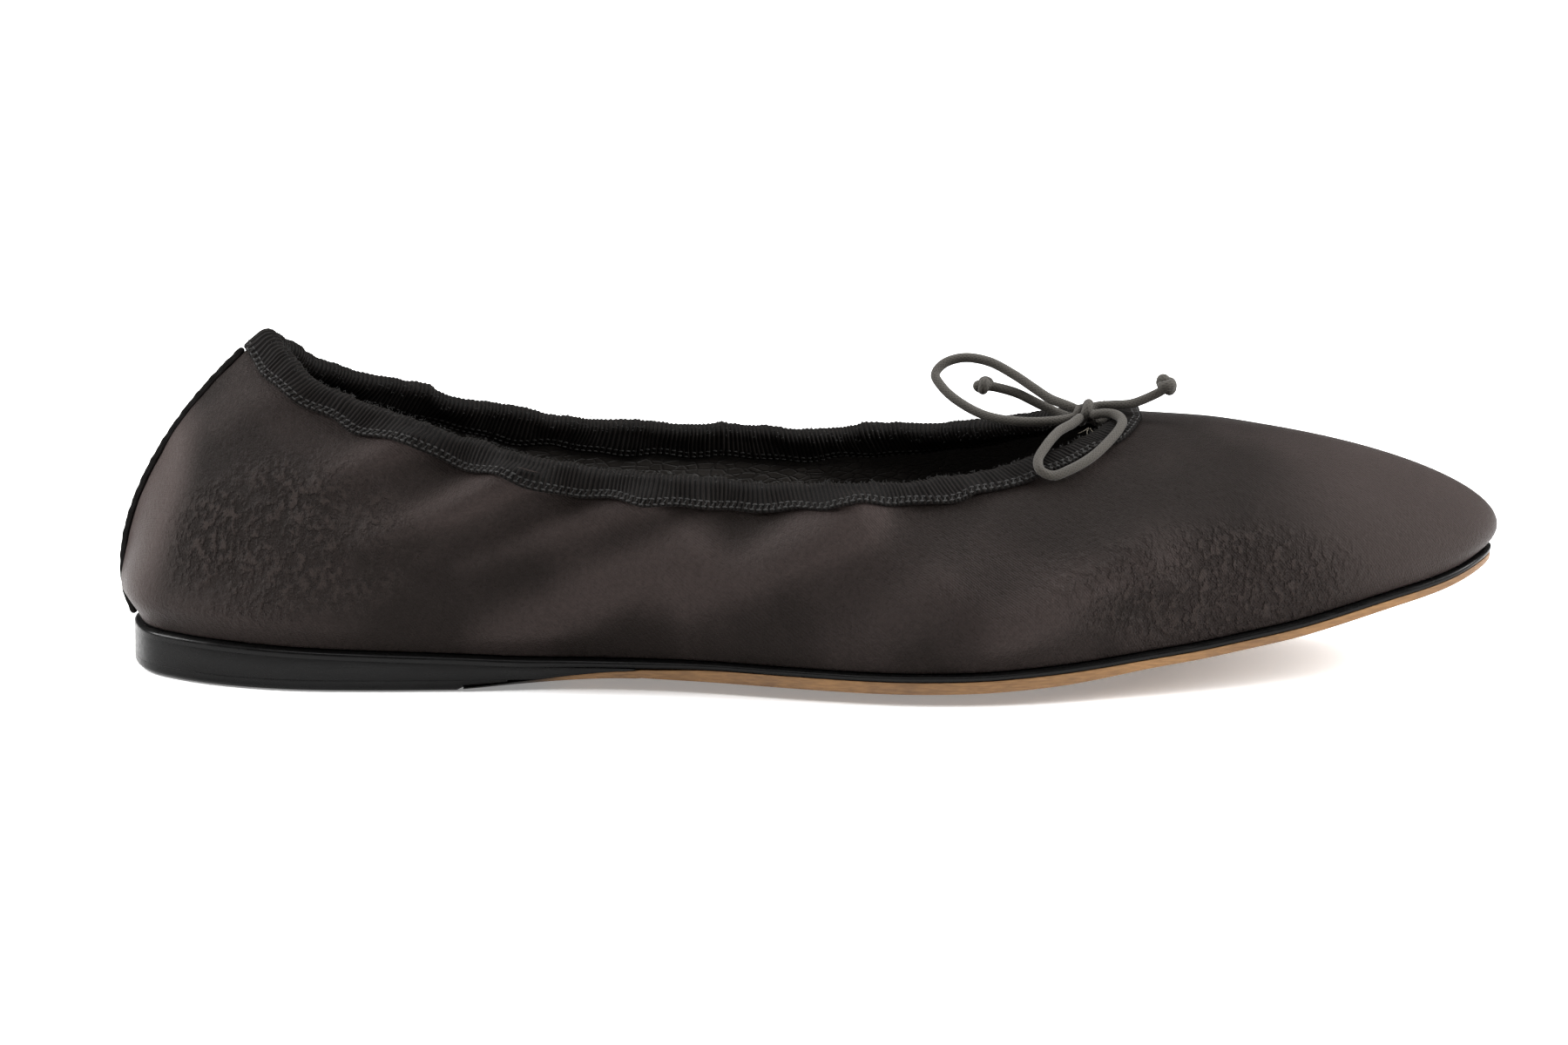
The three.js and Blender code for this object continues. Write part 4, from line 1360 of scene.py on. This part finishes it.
# ---------------------------------------------------------------- upper and lining
@dataclass
class Upper:
    """The satin upper and the leather lining, both lasted over the board."""

    last: Last
    drape: Drape
    rows: int = 640
    lining_rows: int = 420
    foot_steps: tuple[float, ...] = (0.0, 0.012, 0.03, 0.055)
    wall_from: float = 0.085
    wall_steps: int = 46
    margin: float = 10.2
    lining_margin: float = 9
    binding_leg: float = 6
    edge_below_top: float = 3.25
    wall_start: float = 3.4
    counter_steps: int = 9
    counter_rows: int = 5
    puff_steps: int = 6
    puff_rows: int = 4
    crest_share: float = 0.2

    def _floor(self, s: Array, depth: float, margin: float, corner: float) -> Array:
        """The turned-in margin, from its inner edge out to the corner.

        Args:
            s: places round the shoe, in rows.
            depth: how far the layer lies above the sole's bed.
            margin: how far in the margin reaches.
            corner: how far in the wall's foot lies.

        Returns:
            The points, in millimetres.
        """
        insets = np.array([margin, (self.margin + self.last.seat_inset) / 2, corner])

        def level(x: Array, y: Array) -> Array:
            """The height of the margin."""
            return self.last.bed(x, y) + self.last.gap + depth

        return self.last.inset(s[:, None], np.broadcast_to(insets, (len(s), 3)), level)

    def satin(self, finish: Material) -> None:
        """The upper: its face falls in folds, its back follows the last.

        Args:
            finish: the piece's material.
        """
        last = self.last
        s = last.even(self.rows, 0.5)
        top = last.below_top(s, self.edge_below_top)[:, None]
        share = np.concatenate([self.foot_steps, np.linspace(self.wall_from, 1, self.wall_steps)])
        t = share[None, :] * top
        swell = self.drape.swell(s[:, None], t)
        face = last.layer(s[:, None], t, -swell)
        back_t = np.concatenate([np.linspace(1, 0.2, 10), [0.12, 0.06]])[None, :] * top
        back = last.layer(s[:, None], back_t, np.full(back_t.shape, last.upper))
        outside = self._floor(s, 0, self.margin, last.seat_inset + 0.25)
        inside = self._floor(s, last.upper, self.margin, last.seat_inset + last.upper + 0.5)
        points = np.concatenate([outside, face, back, inside[:, ::-1], outside[:, :1]], axis=1)
        # The pattern's second coordinate carries the fold height, which the satin's finish turns into
        # painted light on the crests and painted shade in the valleys.
        stand = np.zeros(points.shape[:2])
        stand[:, 3:3 + t.shape[1]] = swell * self.crest_share
        uv = np.stack([np.broadcast_to((s / last.count)[:, None], stand.shape), stand], 2)
        dress(loft("satin_upper", last.place(points), uv), finish, "satin", Body.SHOE, "upper")

    def _stiffened(self, s: Array, height: Array) -> Array:
        """Where the lining passes over the heel counter or the toe puff, from 0 to 1.

        Args:
            s: places round the shoe, in rows.
            height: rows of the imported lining, from the wall's foot.

        Returns:
            The share at each point.
        """
        step = s * (self.last.cad_steps / self.last.count) % self.last.cad_steps
        half = self.last.cad_steps / 2
        from_heel = np.minimum(step, self.last.cad_steps - step)
        from_toe = np.abs(step - half)
        counter = (np.clip(self.counter_steps + 1 - from_heel, 0, 1)
                   * np.clip(np.minimum(height, self.counter_rows - height), 0, 1))
        puff = (np.clip(self.puff_steps + 1 - from_toe, 0, 1)
                * np.clip(np.minimum(height, self.puff_rows - height), 0, 1))
        return np.maximum(counter, puff)

    def leather(self, finish: Material) -> None:
        """The lining, finely wrinkled where it is gathered with the satin.

        Args:
            finish: the piece's material.
        """
        last = self.last
        s = last.even(self.lining_rows, 0.5)
        foot = last.wall(s, np.zeros(s.shape))[:, 2]
        fine = np.linspace(0, 0.5, 101)
        high = last.wall(s[:, None], fine[None, :])[..., 2] - foot[:, None]
        start = np.array([fine[np.argmax(h >= self.wall_start)] if h.max() >= self.wall_start
                          else fine[-1] for h in high])
        low = last.below_top(s, self.binding_leg)
        top = last.below_top(s, self.edge_below_top)
        end = self.counter_rows
        height = np.concatenate([np.linspace(0, end, 26), [end + 0.5, end + 1]])
        t = np.where(height <= end, start[:, None] + (low - start)[:, None] * height / end,
                     low[:, None] + (top - low)[:, None] * (height - end))
        first = last.upper + last.gap
        depth = first + self._stiffened(s[:, None], height) * (last.stiffener + last.gap)
        turn = (s / last.count)[:, None]
        wrinkle = (self.drape.ripple(turn + height * 0.004, (61, 83, 107), 5) * 0.16
                   + self.drape.ripple(turn - height * 0.006, (37, 29), 8) * 0.14)
        fade = np.sin(np.pi * np.clip(height / 5.6, 0, 1))
        near = last.layer(s[:, None], t, depth + last.lining + np.maximum(wrinkle, -0.1) * fade)
        face = last.layer(s[:, None], t, depth)
        second = first + last.lining
        outside = self._floor(s, first, self.lining_margin, last.seat_inset + first + 0.5)
        inside = self._floor(s, second, self.lining_margin, last.seat_inset + second + 0.5)
        points = np.concatenate([outside, face, near[:, ::-1], inside[:, ::-1], outside[:, :1]], axis=1)
        dress(loft("leather_lining", last.place(points)), finish, "lining_leather", Body.SHOE, "lining")

    def build(self, satin: Material, leather: Material) -> None:
        """Makes the upper and its lining."""
        self.satin(satin)
        self.leather(leather)


# ---------------------------------------------------------------- binding and seam
@dataclass
class Binding:
    """The ribbed ribbon round the topline, its two rows of stitches and the piping at the back."""

    last: Last
    drape: Drape
    leg: float = 6
    thickness: float = 0.5
    edge_below_top: float = 3.25
    channel: float = 1.45
    rise: float = 1.3
    rib_pitch: float = 0.78
    rib_height: float = 0.24
    rows_per_rib: int = 4
    stitch_pitch: float = 1.15
    seam_radius: float = 0.7
    cord: float = 1.8
    cord_steps: int = 420
    fibres: int = 1700
    fibre: tuple[float, float] = (0.2, 0.42)
    fibre_width: float = 0.04
    leg_start: float = 3.0
    hang_wave: float = 0.45
    ruffle: float = 0.22
    lift: tuple[float, float] = (0.32, 0.1)
    drift: float = 0.28
    slant: float = 0.55
    seam_drift: float = 0.25
    sewn_pitch: float = 2.1
    sewn_height: float = 0.07
    knob_height: float = 0.04
    stitch_rows: tuple[float, float] = (0.45, 1.45)
    stitch: Triple = (0.47, 0.17, 0.17)
    cross_stitch: Triple = (0.55, 0.12, 0.13)
    inside_stitch: Triple = (0.42, 0.15, 0.15)

    def __post_init__(self) -> None:
        """Measures the topline and settles how many ribs go round it."""
        fine = np.linspace(0, self.last.count, 2401)
        top = self.last.wall(fine, np.ones(fine.shape))
        self.fine = fine
        self.walked = np.concatenate([[0], np.cumsum(np.linalg.norm(np.diff(top, axis=0), axis=1))])
        self.length = float(self.walked[-1])
        self.ribs = round(self.length / self.rib_pitch)
        self.sandwich = self.last.upper + self.last.gap + self.last.lining

    def _at(self, turn: Array) -> Array:
        """The place round the last, in rows, at each share of the topline's length."""
        place = np.interp(np.mod(turn, 1) * self.length, self.walked, self.fine)
        return place + np.floor(turn) * self.last.count

    def _hang(self, turn: Array) -> Array:
        """How far below the topline the ribbon's edge hangs, as the gathers pull it up and down."""
        return self.leg + self.hang_wave * self.drape.ripple(turn, (13, 21, 34), 11)

    def _leg(self, turn: Array, down: Array, off: Array) -> Array:
        """Points on the ribbon's outer leg, over the folds of the satin.

        Args:
            turn: places round the topline, from 0 to 1.
            down: distances below the topline.
            off: how far each point stands off the satin.

        Returns:
            The points, in millimetres.
        """
        s = self._at(turn)
        t = self.last.below_top(s, down)
        ruffle = self.ruffle * self.drape.ripple(turn, (29, 47, 61), 3) * smoothstep(down, 2, 5)
        stand = self.drape.swell(s, t) + off + np.maximum(ruffle, -0.05) + 0.05
        return self.last.layer(s, t, -stand)

    def _fold_line(self, turn: Array) -> tuple[Array, Array, Array]:
        """The middle of the ribbon's fold, which the gathers carry up and out.

        Args:
            turn: places round the topline, from 0 to 1.

        Returns:
            The middle, and the directions up and out there.
        """
        s = self._at(turn)
        t = self.last.below_top(s, self.edge_below_top)
        up, out = self.last.up_wall(s, t), self.last.out_of_wall(s, t)
        lift = (self.lift[0] * self.drape.ripple(turn, (17, 25, 38), 41)
                + self.lift[1] * self.drape.ripple(turn, (90, 133), 43))
        carried = np.clip(self.drape.swell(s, t), 0, 2) * 0.5
        centre = self.last.layer(s, t, np.full(s.shape, self.sandwich / 2))
        lifted = up * (self.rise + np.maximum(lift, -0.1))[:, None]
        return centre + lifted + out * carried[:, None], up, out

    def drawcord(self, finish: Material) -> None:
        """The elastic cord that runs inside the fold and gathers it.

        Args:
            finish: the piece's material.
        """
        centre, _, _ = self._fold_line(np.arange(self.cord_steps) / self.cord_steps)
        piece = tube("gathering_cord", self.last.place(centre), self.cord / 2 * MM, 12, closed=True)
        dress(piece, finish, "cord", Body.SHOE, "drawcord")

    def fuzz(self, finish: Material) -> None:
        """Short fibres that stand up along the ribbon's worn fold.

        Args:
            finish: the piece's material.
        """
        chance = np.random.default_rng(77)
        turn = np.sort(chance.uniform(0, 1, self.fibres))
        centre, up, out = self._fold_line(turn)
        angle = np.radians(chance.uniform(15, 165, self.fibres))[:, None]
        radial = out * np.cos(angle) + up * np.sin(angle)
        along = np.cross(up, out)
        sideways = along * chance.normal(0, 0.9, (self.fibres, 1))
        lean = radial * 0.75 + sideways + up * chance.normal(0, 0.2, (self.fibres, 1))
        length = chance.uniform(*self.fibre)
        middle = centre + radial * (self.channel + self.thickness + self.rib_height + 0.16)
        piece = scatter("ribbon_fuzz", self.last.place(middle), lean, radial,
                        (length, self.fibre_width, self.fibre_width))
        dress(piece, finish, "ribbon", Body.SHOE)

    def ribbon(self, finish: Material) -> None:
        """The ribbon: a ribbed sleeve over the drawcord with a leg down either side.

        Args:
            finish: the piece's material.
        """
        last = self.last
        count = self.ribs * self.rows_per_rib
        turn = np.arange(count + 1) / count
        drift = self.drift * self.drape.ripple(turn, (13, 22, 37), 21)
        turn = turn + (drift - drift[0]) / self.length
        phase = np.arange(count + 1) * 2 * np.pi / self.rows_per_rib
        uneven = 0.75 + 0.25 * self.drape.ripple(turn, (67, 91, 120), 9)
        rib = self.rib_height * (0.5 + 0.5 * np.cos(phase)) * uneven
        slant = self.slant * self.drape.ripple(turn, (11, 17, 26), 31) / self.length
        hang = self._hang(turn)
        gap = last.gap

        def leg(share: float, off: float, raised: float) -> Array:
            """One line of points down the outer leg.

            Args:
                share: how far down, from 0 to 1.
                off: how far off the satin.
                raised: the share of the ribs' height.

            Returns:
                The points.
            """
            down = self.leg_start + (hang - self.leg_start) * share
            return self._leg(turn + slant * share, down, gap + off + rib * raised)

        def inner(share: float, off: float, raised: float) -> Array:
            """One line of points down the inner leg.

            Args:
                share: how far down, from 0 to 1.
                off: how far off the lining.
                raised: the share of the ribs' height.

            Returns:
                The points.
            """
            s = self._at(turn - slant * share)
            t = last.below_top(s, self.leg_start + (hang - self.leg_start) * share)
            return last.layer(s, t, self.sandwich + gap + off + rib * raised)

        centre, up, out = self._fold_line(turn)

        def fold(angle: float, radius: float, raised: float) -> Array:
            """One line of points over the drawcord.

            Args:
                angle: the turn over the cord, in degrees.
                radius: in millimetres.
                raised: the share of the ribs' height.

            Returns:
                The points.
            """
            a = math.radians(angle)
            reach = (radius + rib * raised)[:, None]
            return centre + out * reach * math.cos(a) + up * reach * math.sin(a)

        thick = self.thickness
        rows = [
            leg(1.0, 0.02, 0.0), leg(1.0, thick * 0.8, 0.3),
            *(leg(x, thick, 1.0) for x in (0.93, 0.75, 0.5, 0.25)),
            *(fold(a, self.channel + thick, 1.0) for a in (0, 22, 45, 67, 90, 113, 135, 158, 180)),
            *(inner(x, thick, 1.0) for x in (0.3, 0.6, 0.93)),
            inner(1.0, thick * 0.8, 0.3), inner(1.0, 0.02, 0), inner(0.5, 0, 0),
            *(fold(a, self.channel, 0) for a in (180, 120, 60, 0)), leg(0.5, 0, 0)]
        points = np.stack([*rows, rows[0]], axis=1)
        points[-1] = points[0]
        uv = np.zeros(points.shape[:2] + (2,))
        # The pattern's first coordinate counts the ribs, which the ribbon's finish uses for painted
        # shade between them and for their relief.
        uv[..., 0] = (np.arange(count + 1) / self.rows_per_rib + 0.5)[:, None]
        uv[..., 1] = np.linspace(0, 1, points.shape[1])
        piece = loft("ribbon_binding", last.place(points), uv)
        dress(piece, finish, "ribbon", Body.SHOE, "topline_binding")

    def stitching(self, finish: Material) -> None:
        """A flat cover stitch along both edges of the ribbon: two rows and the thread across.

        Args:
            finish: the piece's material.
        """
        last = self.last
        count = round(self.length / self.stitch_pitch)
        turn = (np.arange(count) + 0.5) / count
        hang = self._hang(turn)
        s = self._at(turn)
        face = last.gap + self.thickness
        off = np.full(turn.shape, face + 0.1)
        pieces = []
        for index, (up_edge, swing) in enumerate(zip(self.stitch_rows, (0.0, 0.5))):
            at = turn + swing / count
            down = self._hang(at) - up_edge
            here = self._leg(at, down, off)
            ahead = self._leg(at + 0.0004, down, off)
            out = last.out_of_wall(self._at(at), last.below_top(self._at(at), down))
            pieces.append(scatter(f"row_{index}", last.place(here), ahead - here, out, self.stitch))
        off = np.full(turn.shape, face + 0.06)
        low = self._leg(turn, hang - 0.5, off)
        high = self._leg(turn + 0.5 / count, hang - 1.4, off)
        out = last.out_of_wall(s, last.below_top(s, hang))
        middle = last.place((low + high) / 2)
        pieces.append(scatter("across", middle, high - low, out, self.cross_stitch))
        for index, up_edge in enumerate((0.5, 1.4)):
            t = last.below_top(s, hang - up_edge)
            out = last.out_of_wall(s, t)
            here = last.wall(s, t) - out * (self.sandwich + last.gap + self.thickness + 0.1)
            ahead = last.wall(s + 0.01, t) - last.wall(s, t)
            pieces.append(scatter(f"inside_{index}", last.place(here), ahead, -out,
                                  self.inside_stitch))
        dress(join("binding_stitches", pieces), finish, "ribbon", Body.SHOE)

    def piping(self, finish: Material) -> None:
        """The raised piping over the back seam, a little knobbly where it is sewn.

        Args:
            finish: the piece's material.
        """
        last = self.last
        end = float(last.below_top(np.array([0.0]), self.leg + self.seam_radius + last.gap)[0])
        t = np.linspace(0.025, end, 300)
        s = np.zeros(t.shape)
        path = last.layer(s, t, np.full(t.shape, -last.gap - self.seam_radius))
        walk = np.linspace(0, 1, len(t))
        path[:, 1] += self.seam_drift * np.sin(walk * 17) * np.sin(walk * 41 + 1)

        def bumps(turn: Array, way: Array) -> Array:
            """The rise and fall between stitches.

            Args:
                turn: the turn round the piping.
                way: the way along it.

            Returns:
                The height to add, in metres.
            """
            sewn = 0.5 + 0.5 * np.cos(2 * np.pi * way / (self.sewn_pitch * MM))
            knobs = self.knob_height * np.sin(way / MM * 1.7 + turn)
            return MM * (self.sewn_height * sewn + knobs - self.knob_height)

        piece = tube("back_seam_piping", last.place(path), self.seam_radius * MM, 18, relief=bumps)
        dress(piece, finish, "ribbon", Body.SHOE, "back_seam")

    def build(self, ribbon: Material, thread: Material, cord: Material) -> None:
        """Makes the ribbon, the cord in its fold, its stitches and the piping.

        Args:
            ribbon: the ribbon's material.
            thread: the stitches' material.
            cord: the cord's material.
        """
        self.ribbon(ribbon)
        self.drawcord(cord)
        self.fuzz(thread)
        self.stitching(thread)
        self.piping(ribbon)


# ---------------------------------------------------------------- sole
@dataclass
class Sole:
    """The rand, outsole, heel wedge, top piece and sock: plates with their edges rounded."""

    last: Last
    rand_width: float = 10.5
    heel_inset: float = 0.06
    seam: float = 0.02
    rand_flat: float = 5.7
    rand_roll: tuple[float, float] = (1.7, 0.75)
    rand_rolled_in: float = 0.25
    toe_rasp: float = 0.35
    toe_rasp_from: tuple[float, float] = (168, 192)
    tip_rasp: float = 0.5
    tip_rasp_from: tuple[float, float] = (222, 250)
    outsole_inset: float = 0.2
    outsole_edge: tuple[float, float] = (0.12, 0.4)
    wedge_edge: tuple[float, float] = (0.02, 0.02)
    top_piece_edge: tuple[float, float] = (0.02, 1.1)
    sock_edge: tuple[float, float] = (0.3, 0.1)
    plate_lines: int = 15
    top_piece: float = 2.0
    top_piece_end: float = 72
    board_inset: float = 5.4
    board: float = 1.8
    sock: float = 0.7
    pad: float = 2.2
    pad_end: float = 58

    def _forward(self, x: Array) -> Array:
        """0 over the heel wedge, and 1 from a little way in front of it."""
        return smoothstep(x, self.last.heel_end + 1, self.last.heel_end + 17)

    def rand(self, finish: Material) -> None:
        """The black strip between the upper and the outsole, with a rolled edge.

        Args:
            finish: the piece's material.
        """
        last = self.last
        s = last.even(520, 0.0)
        x_edge = last.station(s)["edge"][:, 0]
        half = (last.rand - self.rand_rolled_in * self._forward(x_edge)) / 2
        front = smoothstep(x_edge, last.heel_end - 25, last.heel_end + 10)
        lines = []
        for inset in (self.rand_width, self.rand_flat):
            lines.append(last.inset(s, np.full(s.shape, inset), last.bed))
        for angle in (90, 70, 50, 30, 12, -12, -30, -50, -70, -90):
            a = math.radians(angle)
            roll = self.rand_roll[0] if angle > 0 else self.rand_roll[1] * front
            back = half * roll * (1 - math.cos(a))
            rise = half * math.sin(a) - half
            lines.append(last.inset(s, back, lambda x, y, z=rise: last.bed(x, y) + z))

        def under(x: Array, y: Array) -> Array:
            """The rand's lower face."""
            return last.bed(x, y) - 2 * half

        for inset in (self.rand_flat, self.rand_width):
            lines.append(last.inset(s, np.full(s.shape, inset), under))
        lines.append(lines[0])
        piece = loft("rolled_rand", last.place(np.stack(lines, 1)))
        dress(piece, finish, "sole_rubber", Body.SHOE, "rand")

    def _plate(self, name: str, inset: float, top: Callable, underside: Callable, start: float,
               end: float, rounding: tuple[float, float]) -> Piece:
        """A plate over the sole's outline.

        Args:
            name: the piece's name.
            inset: how far its edge lies inside the sole's.
            top: gives its upper face from x and y.
            underside: gives its lower face from x and y.
            start: where it begins, in millimetres from the heel.
            end: where it ends.
            rounding: how far its upper and lower edges are rounded.

        Returns:
            The piece.
        """
        last = self.last
        low = 0.0 if start <= last.rows[0][0] else last.row_at(start)
        high = last.toe if end >= last.rows[-1][0] else last.row_at(end)
        s = np.linspace(low, high, max(40, round((high - low) * 16)))
        if low == 0:
            s = np.sort(np.concatenate([s, [0.03, 0.08]]))
        if high == last.toe:
            s = np.sort(np.concatenate([s, [high - 0.03, high - 0.08]]))
        step = [last.row_at(last.outsole_start - x) for x in (0.45, 0.15)]
        s = np.sort(np.concatenate([s, [at for at in step if low < at < high]]))

        def edge(side: Array) -> list[Array]:
            """The rounded edge on one side, from the upper face round to the lower.

            Args:
                side: places along one side, in rows.

            Returns:
                One line for each turn.
            """
            lines = []
            angles = (0, 30, 60, 90)
            for radius, face, sign, turns in ((rounding[0], top, -1, angles),
                                              (rounding[1], underside, 1, angles[::-1])):
                for a in turns:
                    back = radius * (1 - math.sin(math.radians(a)))
                    drop = radius * (1 - math.cos(math.radians(a)))
                    p = last.inset(side, np.full(side.shape, inset + back), face)
                    room = np.maximum(top(p[:, 0], p[:, 1]) - underside(p[:, 0], p[:, 1]), 0.02)
                    p[:, 2] += sign * np.minimum(drop, room * 0.45)
                    lines.append(p)
            return lines

        outer, inner = edge(s), edge(last.count - s)

        def across(a: Array, b: Array, face: Callable) -> list[Array]:
            """The lines between two edges of one face.

            Args:
                a: the first edge.
                b: the second edge.
                face: gives z from x and y.

            Returns:
                The lines, from a to b.
            """
            lines = []
            for share in np.linspace(0, 1, self.plate_lines)[1:-1]:
                p = a + (b - a) * share
                p[:, 2] = face(p[:, 0], p[:, 1])
                lines.append(p)
            return lines

        loop = [*outer, *across(outer[-1], inner[-1], underside),
                *inner[::-1], *across(inner[0], outer[0], top)]
        return loft(name, last.place(np.stack([*loop, loop[0]], axis=1)))

    def outsole(self, finish: Material) -> None:
        """The tan outsole, feathered out over the heel wedge.

        Args:
            finish: the piece's material.
        """
        last = self.last

        def top(x: Array, y: Array) -> Array:
            """The face under the rand."""
            filled = self.rand_rolled_in + last.gap - 0.05
            return last.outsole_top(x, y) + filled * self._forward(x)

        def under(x: Array, y: Array) -> Array:
            """The walking face, which is rasped thin towards the toe.

            Args:
                x: how far each point lies from the heel.
                y: how far each point lies to the inner side.

            Returns:
                The height at each point.
            """
            rasp = (self.toe_rasp * smoothstep(x, *self.toe_rasp_from)
                    + (self.tip_rasp - self.toe_rasp) * smoothstep(x, *self.tip_rasp_from))
            return last.outsole_top(x, y) - last.outsole_thickness(x) * (1 - rasp)

        piece = self._plate("leather_outsole", self.outsole_inset, top, under,
                            last.outsole_start, last.length, self.outsole_edge)
        dress(piece, finish, "outsole_leather", Body.SHOE, "outsole")

    def heel(self, finish: Material) -> None:
        """The low wedge and its top piece.

        Args:
            finish: the piece's material.
        """
        last = self.last
        floor = self.top_piece + self.seam

        def wedge_top(x: Array, y: Array) -> Array:
            """The wedge's upper face, under the rand."""
            return last.bed(x, y) - last.rand - self.seam

        def wedge_under(x: Array, y: Array) -> Array:
            """The wedge stands on its top piece, and further on over the outsole's tail."""
            over_tail = np.maximum(floor, last.outsole_top(x, y) + self.seam)
            return np.where(x < last.outsole_start, floor, over_tail)

        def piece_top(x: Array, _: Array) -> Array:
            """The top piece's upper face."""
            return np.full(x.shape, self.top_piece)

        def piece_under(x: Array, y: Array) -> Array:
            """The top piece is flat, then lies over the outsole's tail."""
            return np.where(x <= last.outsole_start - 0.3, 0, last.outsole_top(x, y) + self.seam)

        wedge = self._plate("heel_wedge", self.heel_inset, wedge_top, wedge_under, 0,
                            last.heel_end, self.wedge_edge)
        dress(wedge, finish, "sole_rubber", Body.SHOE, "heel_block")
        tip = self._plate("heel_tip", self.heel_inset, piece_top, piece_under, 0,
                          self.top_piece_end, self.top_piece_edge)
        dress(tip, finish, "sole_rubber", Body.SHOE, "heel_top_piece")

    def sock_sheet(self, finish: Material) -> None:
        """The sock, which rides up over the heel pad.

        Args:
            finish: the piece's material.
        """
        last = self.last
        under = last.gap * 4 + last.upper + last.lining + self.board

        def below(x: Array, y: Array) -> Array:
            """The sock's lower face."""
            share = smoothstep(x, self.pad_end + 10, self.pad_end + 30)
            return last.bed(x, y) + under + (self.pad + last.gap) * (1 - share)

        def above(x: Array, y: Array) -> Array:
            """The sock's upper face."""
            return below(x, y) + self.sock

        piece = self._plate("leather_sock", self.board_inset, above, below, 0, last.length,
                            self.sock_edge)
        dress(piece, finish, "lining_leather", Body.SHOE, "sock_lining")

    def build(self, black: Material, tan: Material, leather: Material) -> None:
        """Makes the sole, from the rand down, and the sock inside.

        Args:
            black: the rubber.
            tan: the sole leather.
            leather: the lining leather.
        """
        self.rand(black)
        self.outsole(tan)
        self.heel(black)
        self.sock_sheet(leather)


# ---------------------------------------------------------------- hidden parts
@dataclass
class Inside:
    """The parts between the layers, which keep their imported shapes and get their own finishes."""

    steel: Fibre = Fibre("spring_steel", (0.32, 0.33, 0.34), (0.55, 0.56, 0.57), 900, 0.34, 1.0)
    board: Fibre = Fibre("pressed_board", (0.20, 0.145, 0.09), (0.36, 0.28, 0.18), 1200, 0.85)
    cork: Fibre = Fibre("cork_filler", (0.16, 0.09, 0.045), (0.40, 0.26, 0.14), 500, 0.9)
    felt: Fibre = Fibre("stiffener_felt", (0.38, 0.35, 0.30), (0.58, 0.55, 0.49), 1400, 0.9)
    foam: Fibre = Fibre("pad_foam", (0.52, 0.47, 0.33), (0.72, 0.67, 0.51), 1800, 0.95)

    def build(self) -> None:
        """Dresses each hidden node."""
        finishes = {
            "heel_counter": self.felt, "toe_puff": self.felt, "heel_pad": self.foam,
            "insole_board": self.board, "bottom_filler": self.cork, "shank": self.steel}
        made = {finish.name: finish.make() for finish in {*finishes.values()}}
        for name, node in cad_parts.items():
            finish = finishes.get(name)
            if finish is None and ("rivet" in name or "nail" in name):
                finish = self.steel
            if finish is None:
                continue
            for slot in node.material_slots:
                slot.material = made[finish.name]
            LOG.info("%s: %s", name, finish.name)


def main() -> None:
    """Builds the studio and every part of the slipper."""
    logging.basicConfig(level=logging.INFO, format="%(message)s")
    last = Last()
    drape = Drape(last)
    Studio(last).build()
    cord = Braid().make()
    ribbon = Ribbon().make()
    leather = LiningLeather().make()
    thread = Braid("stitch_thread", (0.005, 0.0048, 0.0045), (0.022, 0.0205, 0.019)).make()
    frayed = Braid("frayed_thread", (0.05, 0.042, 0.03), (0.14, 0.12, 0.09)).make()
    Bow(last).build(cord, frayed)
    Upper(last, drape).build(Satin(last).make(), leather)
    Binding(last, drape).build(ribbon, thread, cord)
    Sole(last).build(EdgeBlack().make(), SoleLeather().make(), leather)
    Inside().build()


if __name__ == "__main__":
    main()
